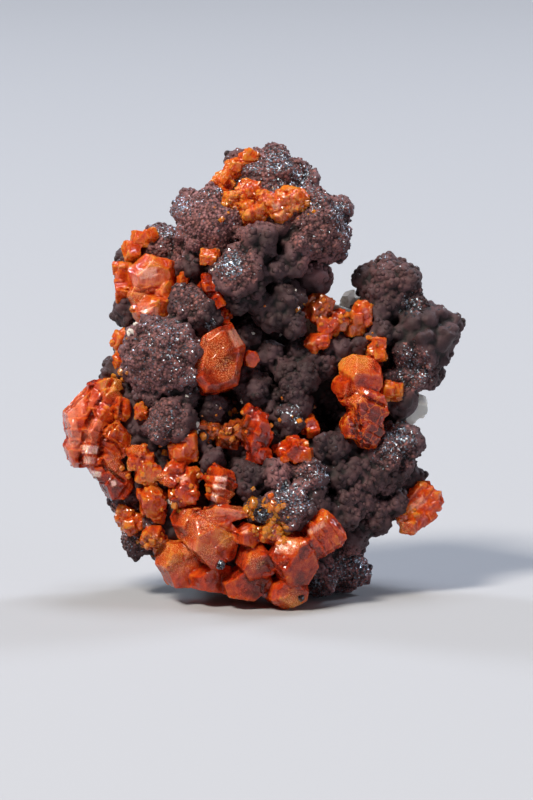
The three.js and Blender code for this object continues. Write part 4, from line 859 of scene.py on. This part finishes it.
def cut_furrows(piece):
    """Presses the furrows in."""
    vertices, _, normals = arrays(piece)
    view = seen(vertices)[:, :2]
    front = smooth(0.1, 0.5, -normals[:, 1])
    depth = np.zeros(len(vertices))
    for course, width, deep in FURROWS:
        for start, end in zip(course, course[1:]):
            start, end = np.array(start), np.array(end)
            along = np.clip((view - start) @ (end - start) / np.sum((end - start) ** 2), 0, 1)
            gap = np.linalg.norm(view - start - along[:, None] * (end - start), axis=1)
            depth = np.maximum(depth, deep * (1 - smooth(0, width, gap)) * front)
    vertices -= normals * depth[:, None] * MM
    move_vertices(piece, vertices)


def painted_highlight_faces(points):
    """How much each point lies on one of the faces with a painted highlight."""
    view = seen(points)
    white = np.zeros(len(points))
    for across, up, wide, tall, turn, strength in PAINTED_HIGHLIGHT_FACES:
        x, y = view[:, 0] - across, view[:, 1] - up
        c, s = math.cos(math.radians(turn)), math.sin(math.radians(turn))
        gap = np.maximum(np.abs(x * c + y * s) - wide, np.abs(y * c - x * s) - tall)
        white = np.maximum(white, strength * (1 - smooth(-0.05, 0.07, gap)))
    return white


def warmed(points, warmth):
    """The warmth of each point: the crystal's own, but for the marked places."""
    view = seen(points)
    for across, up, reach, mark in WARM_MARKS:
        near = 1 - smooth(0.5 * reach, reach, np.hypot(view[:, 0] - across, view[:, 1] - up))
        warmth = warmth * (1 - near) + mark * near
    return warmth


def make_crystals(durangite):
    """Each crystal or group of crystals with a grown surface: blocks, sugar, rungs, steps, a mosaic of
    low faces and furrows."""
    draw = np.random.default_rng(21)
    # each pattern's height on a plain crystal, and what sugariness adds to it
    patterns = [
        (cells("steps", 2.2), 0.12, 0.2),
        (cells("mosaic", 0.9), 0.1, 0.1),
        (cells("fine_mosaic", 0.35), 0.04, 0.08),
        (pattern("waves", "CLOUDS", 0.8, noise_depth=2), 0.02, 0.05),
    ]
    pieces = []
    for name, (warmth, dust, sugar) in CRYSTAL_LOOKS.items():
        node = "durangite_" + name
        piece = copy_of(node, name + "_crystals")
        if sugar > SUGARY:
            piece = grow_sugar(piece, sugar, draw)
        if sugar > BLOCKY:
            piece = grow_blocks(piece, draw)
        remesh(piece, CRYSTAL_VOXEL)
        displace(piece, None, SWELL, middle=0.0)
        cut_rungs(piece)
        for texture, height, more in patterns:
            displace(piece, texture, height + more * sugar)
        cut_furrows(piece)
        thinned(piece, min(CRYSTAL_TRIANGLES, int(area_of(piece) * TRIANGLES_PER_MM2 * (1 + sugar))))
        stand_on_floor(piece)
        only(piece)
        bpy.ops.object.shade_smooth_by_angle(angle=math.radians(24))
        vertices, _, normals = arrays(piece)
        front = smooth(0.0, 0.4, -normals[:, 1])
        gold = near_marks(vertices, GOLD_MARKS) * front
        warmth = warmed(vertices, warmth + 0.08 * (draw.random() - 0.5))
        # painted glow and shade: edges are lighter and hollows deeper in colour, carried in the warmth
        sunk = sinking(piece, rounds=6)
        edges = smooth(0.01, 0.08, -sunk) - smooth(0.01, 0.08, sunk)
        attribute(piece, "warmth", warmth + 0.12 * gold + 0.22 * edges)
        attribute(piece, "veined", near_marks(vertices, VEINED))
        # painted highlight, on the faces that look to the front
        attribute(piece, "painted_highlight", painted_highlight_faces(vertices) * front)
        attribute(piece, "dust", dust * 0.3 + 0.8 * gold)
        attribute(piece, "amber", 0.75 * near_marks(vertices, AMBER_MARKS))
        pieces.append(finished(piece, durangite, "durangite", node))
    return pieces


# The host rock


def make_host_rock(rock):
    """The block of host rock with a broken, chipped and crumbly surface."""
    piece = copy_of("host_rock", "host_rock_surface")
    remesh(piece, ROCK_VOXEL)
    displace(piece, cells("breaks", 2.4, "MANHATTAN"), 0.6)
    displace(piece, cells("chips", 0.8), 0.3)
    displace(piece, pattern("crumbs", "CLOUDS", 0.4, noise_depth=3), 0.15)
    thinned(piece, ROCK_TRIANGLES)
    stand_on_floor(piece)
    only(piece)
    bpy.ops.object.shade_smooth_by_angle(angle=math.radians(30))
    points, _, _ = arrays(piece)
    attribute(piece, "clean", near_marks(points, BARE))
    attribute(piece, "hollow", 0.8 * smooth(0.0, 0.12, sinking(piece, rounds=12)))
    return finished(piece, rock, "host_rock", "host_rock")


# Small things that sit on the crystal face

# Chips of pale rock: across, up, size
CHIPS = [
    (7.4, 26.1, 0.9), (7.0, 26.4, 0.6), (-11.3, 23.8, 0.45), (-10.9, 24.5, 0.25), (-0.8, 23.7, 0.25),
    (1.6, 23.6, 0.2), (-4.3, 29.1, 0.2), (-5.6, 15.9, 0.3), (-5.7, 15.1, 0.3), (-6.0, 14.5, 0.3),
    (-1.8, 17.8, 0.2), (-6.4, 18.3, 0.25), (-7.8, 9.2, 0.45), (-7.2, 8.8, 0.35),
    (4.1, 8.2, 0.2), (-4.0, 17.4, 0.2), (2.9, 27.4, 0.15), (-4.0, 29.4, 0.15),
]

# Crumbs of durangite: across, up, reach, how many
CRUMBS = [
    (0.15, 26.0, 0.1, 1), (-2.2, 35.4, 2.2, 26), (3.6, 34.6, 1.2, 8), (-0.9, 8.8, 1.0, 60),
    (0.9, 8.6, 0.9, 40), (0.4, 7.0, 1.3, 70), (1.8, 6.6, 0.8, 26), (-9.5, 5.6, 1.2, 22),
    (-12.4, 7.4, 0.9, 8), (-3.0, 16.0, 2.0, 22), (-8.4, 13.0, 1.8, 10), (-12.4, 20.2, 0.8, 8),
    (9.8, 23.2, 0.9, 6), (5.6, 26.0, 1.8, 20), (-7.4, 9.6, 1.6, 12), (3.4, 16.2, 1.8, 8),
    (12.6, 7.6, 1.2, 8), (-12.6, 23.0, 1.0, 8), (-5.4, 11.6, 1.4, 10), (-10.6, 12.4, 1.8, 12),
]

# Lumps of steely plates: across, up, radius, and how many plates are tried in one of 1 mm radius
STEEL_LUMPS = [(-0.1, 8.2, 0.7), (-3.6, 3.8, 0.36), (-4.4, 24.5, 0.5), (4.5, 2.2, 0.45), (3.3, 1.0, 0.25)]
PLATES_IN_A_LUMP = 500


def in_front(pieces, across, up):
    """The spot of these pieces that shows at a place of the crystal face, with its outward direction."""
    start = place(across, up, 40)
    ahead = (place(across, up, 0) - start).normalized()
    hits = [piece.ray_cast(start, ahead)[:3] for piece in pieces]
    hits = [(spot, outward) for struck, spot, outward in hits if struck]
    return min(hits, key=lambda hit: (hit[0] - start).length) if hits else (None, None)


def set_down(name, template, marks, pieces, sunk, lean, draw):
    """Copies of the template at the marks, each across, up and size, on what shows there."""
    spots, outward, sizes = [], [], []
    for across, up, size in marks:
        spot, way = in_front(pieces, across, up)
        if spot is not None:
            spots.append(np.array(spot - way * size * sunk * MM))
            outward.append(np.array(way))
            sizes.append(size * MM * (0.75 + 0.5 * draw.random(3)))
    outward = np.array(outward)
    turns = facing(outward + lean * draw.normal(size=outward.shape), draw)
    return copies(name, template, np.array(spots), turns, np.array(sizes))


def make_chips(rock, skin):
    """Broken chips of host rock caught in the hematite."""
    draw = np.random.default_rng(31)
    bpy.ops.mesh.primitive_ico_sphere_add(subdivisions=2, radius=1)
    bpy.ops.object.mode_set(mode="EDIT")
    bpy.ops.transform.vertex_random(offset=0.35, uniform=0.0, normal=0.5, seed=5)
    bpy.ops.object.mode_set(mode="OBJECT")
    chips = set_down("rock_chips", bpy.context.object, CHIPS, [skin], 0.6, 0.4, draw)
    attribute(chips, "clean", np.full(len(chips.data.vertices), 0.6))
    attribute(chips, "hollow", np.zeros(len(chips.data.vertices)))
    finished(chips, rock, "host_rock")


def make_crumbs(durangite, pieces):
    """Small crystals and crumbs strewn round the large ones, thickest round the silvery lump."""
    draw = np.random.default_rng(32)
    marks = [(across + reach * draw.normal() * 0.5, up + reach * draw.normal() * 0.5,
              0.07 + 0.2 * draw.random() ** 2) for across, up, reach, count in CRUMBS for _ in range(count)]
    crumbs = set_down("durangite_crumbs", crystal_block(), marks, pieces, 0.2, 0.6, draw)
    points, _, _ = arrays(crumbs)
    attribute(crumbs, "warmth", np.full(len(points), 1.0))
    attribute(crumbs, "dust", np.full(len(points), 0.25))
    finished(crumbs, durangite, "durangite")


def make_steel_lumps(hematite, pieces):
    """Lumps of specular hematite: low balls covered with small plates that tilt every way."""
    draw = np.random.default_rng(33)
    spots, outward = [], []
    for across, up, radius in STEEL_LUMPS:
        middle, way = in_front(pieces, across, up)
        middle, way = np.array(middle), np.array(way)
        for _ in range(int(PLATES_IN_A_LUMP * radius ** 1.5)):
            out = draw.normal(size=3)
            out /= np.linalg.norm(out)
            if out @ way > -0.2:
                spots.append(middle + (out - 0.35 * way) * radius * MM)
                outward.append(out)
    spots, outward = np.array(spots), np.array(outward)
    bpy.ops.mesh.primitive_cylinder_add(vertices=6, radius=1, depth=0.5)
    turns = facing(outward + 0.6 * draw.normal(size=outward.shape), draw)
    sizes = (0.08 + 0.09 * draw.random(len(spots))) * MM
    lumps = copies("steel_lumps", bpy.context.object, spots, turns, sizes)
    for name in ("granular", "glitter"):
        attribute(lumps, name, np.full(len(lumps.data.vertices), 0.9))
    finished(lumps, hematite, "hematite")


# Studio

# Name, place from the middle of the frame in mm, size in mm, power in watts, tint
LIGHTS = [
    ("key light", (-600, -700, 1200), 340, 29.0, "#fff4e6"),
    ("top light", (150, 250, 1300), 500, 9.0, "#eef3ff"),
    ("fill light", (1100, -900, 250), 600, 3.0, "#e6edff"),
    ("left rim light", (-900, 800, 700), 300, 9.0, "#eaf1ff"),
    ("right rim light", (950, 800, 750), 300, 9.0, "#eaf1ff"),
]

# The floor's side, and the strength of the light from all round
FLOOR_SIDE = 8000
SURROUNDINGS = 0.05


def make_studio(floor):
    """A pale floor, soft light from the upper left and a camera at the photograph's angle."""
    bpy.ops.object.select_all(action="DESELECT")
    bpy.ops.mesh.primitive_plane_add(size=FLOOR_SIDE * MM)
    ground = bpy.context.object
    ground.name = "floor"
    ground.data.materials.append(floor)

    world = bpy.data.worlds.new("soft studio")
    bpy.context.scene.world = world
    bpy.context.scene.view_settings.view_transform = "Standard"
    world.use_nodes = True
    background = world.node_tree.nodes["Background"].inputs
    background["Color"].default_value = colour("#dfe3e8")
    background["Strength"].default_value = SURROUNDINGS

    middle = place(*FRAME_MIDDLE)
    for name, offset, size, power, tint in LIGHTS:
        lamp = bpy.data.lights.new(name, "AREA")
        lamp.size = size * MM
        lamp.energy = power
        lamp.color = colour(tint)[:3]
        holder = bpy.data.objects.new(name, lamp)
        bpy.context.scene.collection.objects.link(holder)
        holder.location = middle + Vector(offset) * MM
        holder.rotation_euler = (middle - holder.location).to_track_quat("-Z", "Y").to_euler()

    camera = bpy.data.objects.new("camera", bpy.data.cameras.new("camera"))
    bpy.context.scene.collection.objects.link(camera)
    camera.data.lens = LENS
    camera.data.sensor_width = SENSOR
    back = Vector((0, -math.cos(VIEW_RISE), math.sin(VIEW_RISE)))
    camera.location = middle + back * (FRAME_HEIGHT * LENS / SENSOR * MM)
    camera.rotation_euler = (-back).to_track_quat("-Z", "Y").to_euler()
    camera.data.clip_start = 0.01
    camera.data.clip_end = 20
    bpy.context.scene.camera = camera


make_studio(floor_material())
hematite_look = hematite_material()
durangite_look = durangite_material()
rock_look = host_rock_material()
steel_look = steel_material()
skin = make_hematite(hematite_look, steel_look)
crystals = make_crystals(durangite_look)
make_host_rock(rock_look)
bpy.context.view_layer.update()
make_chips(rock_look, skin)
make_crumbs(durangite_look, [skin] + crystals)
make_steel_lumps(hematite_look, [skin] + crystals)
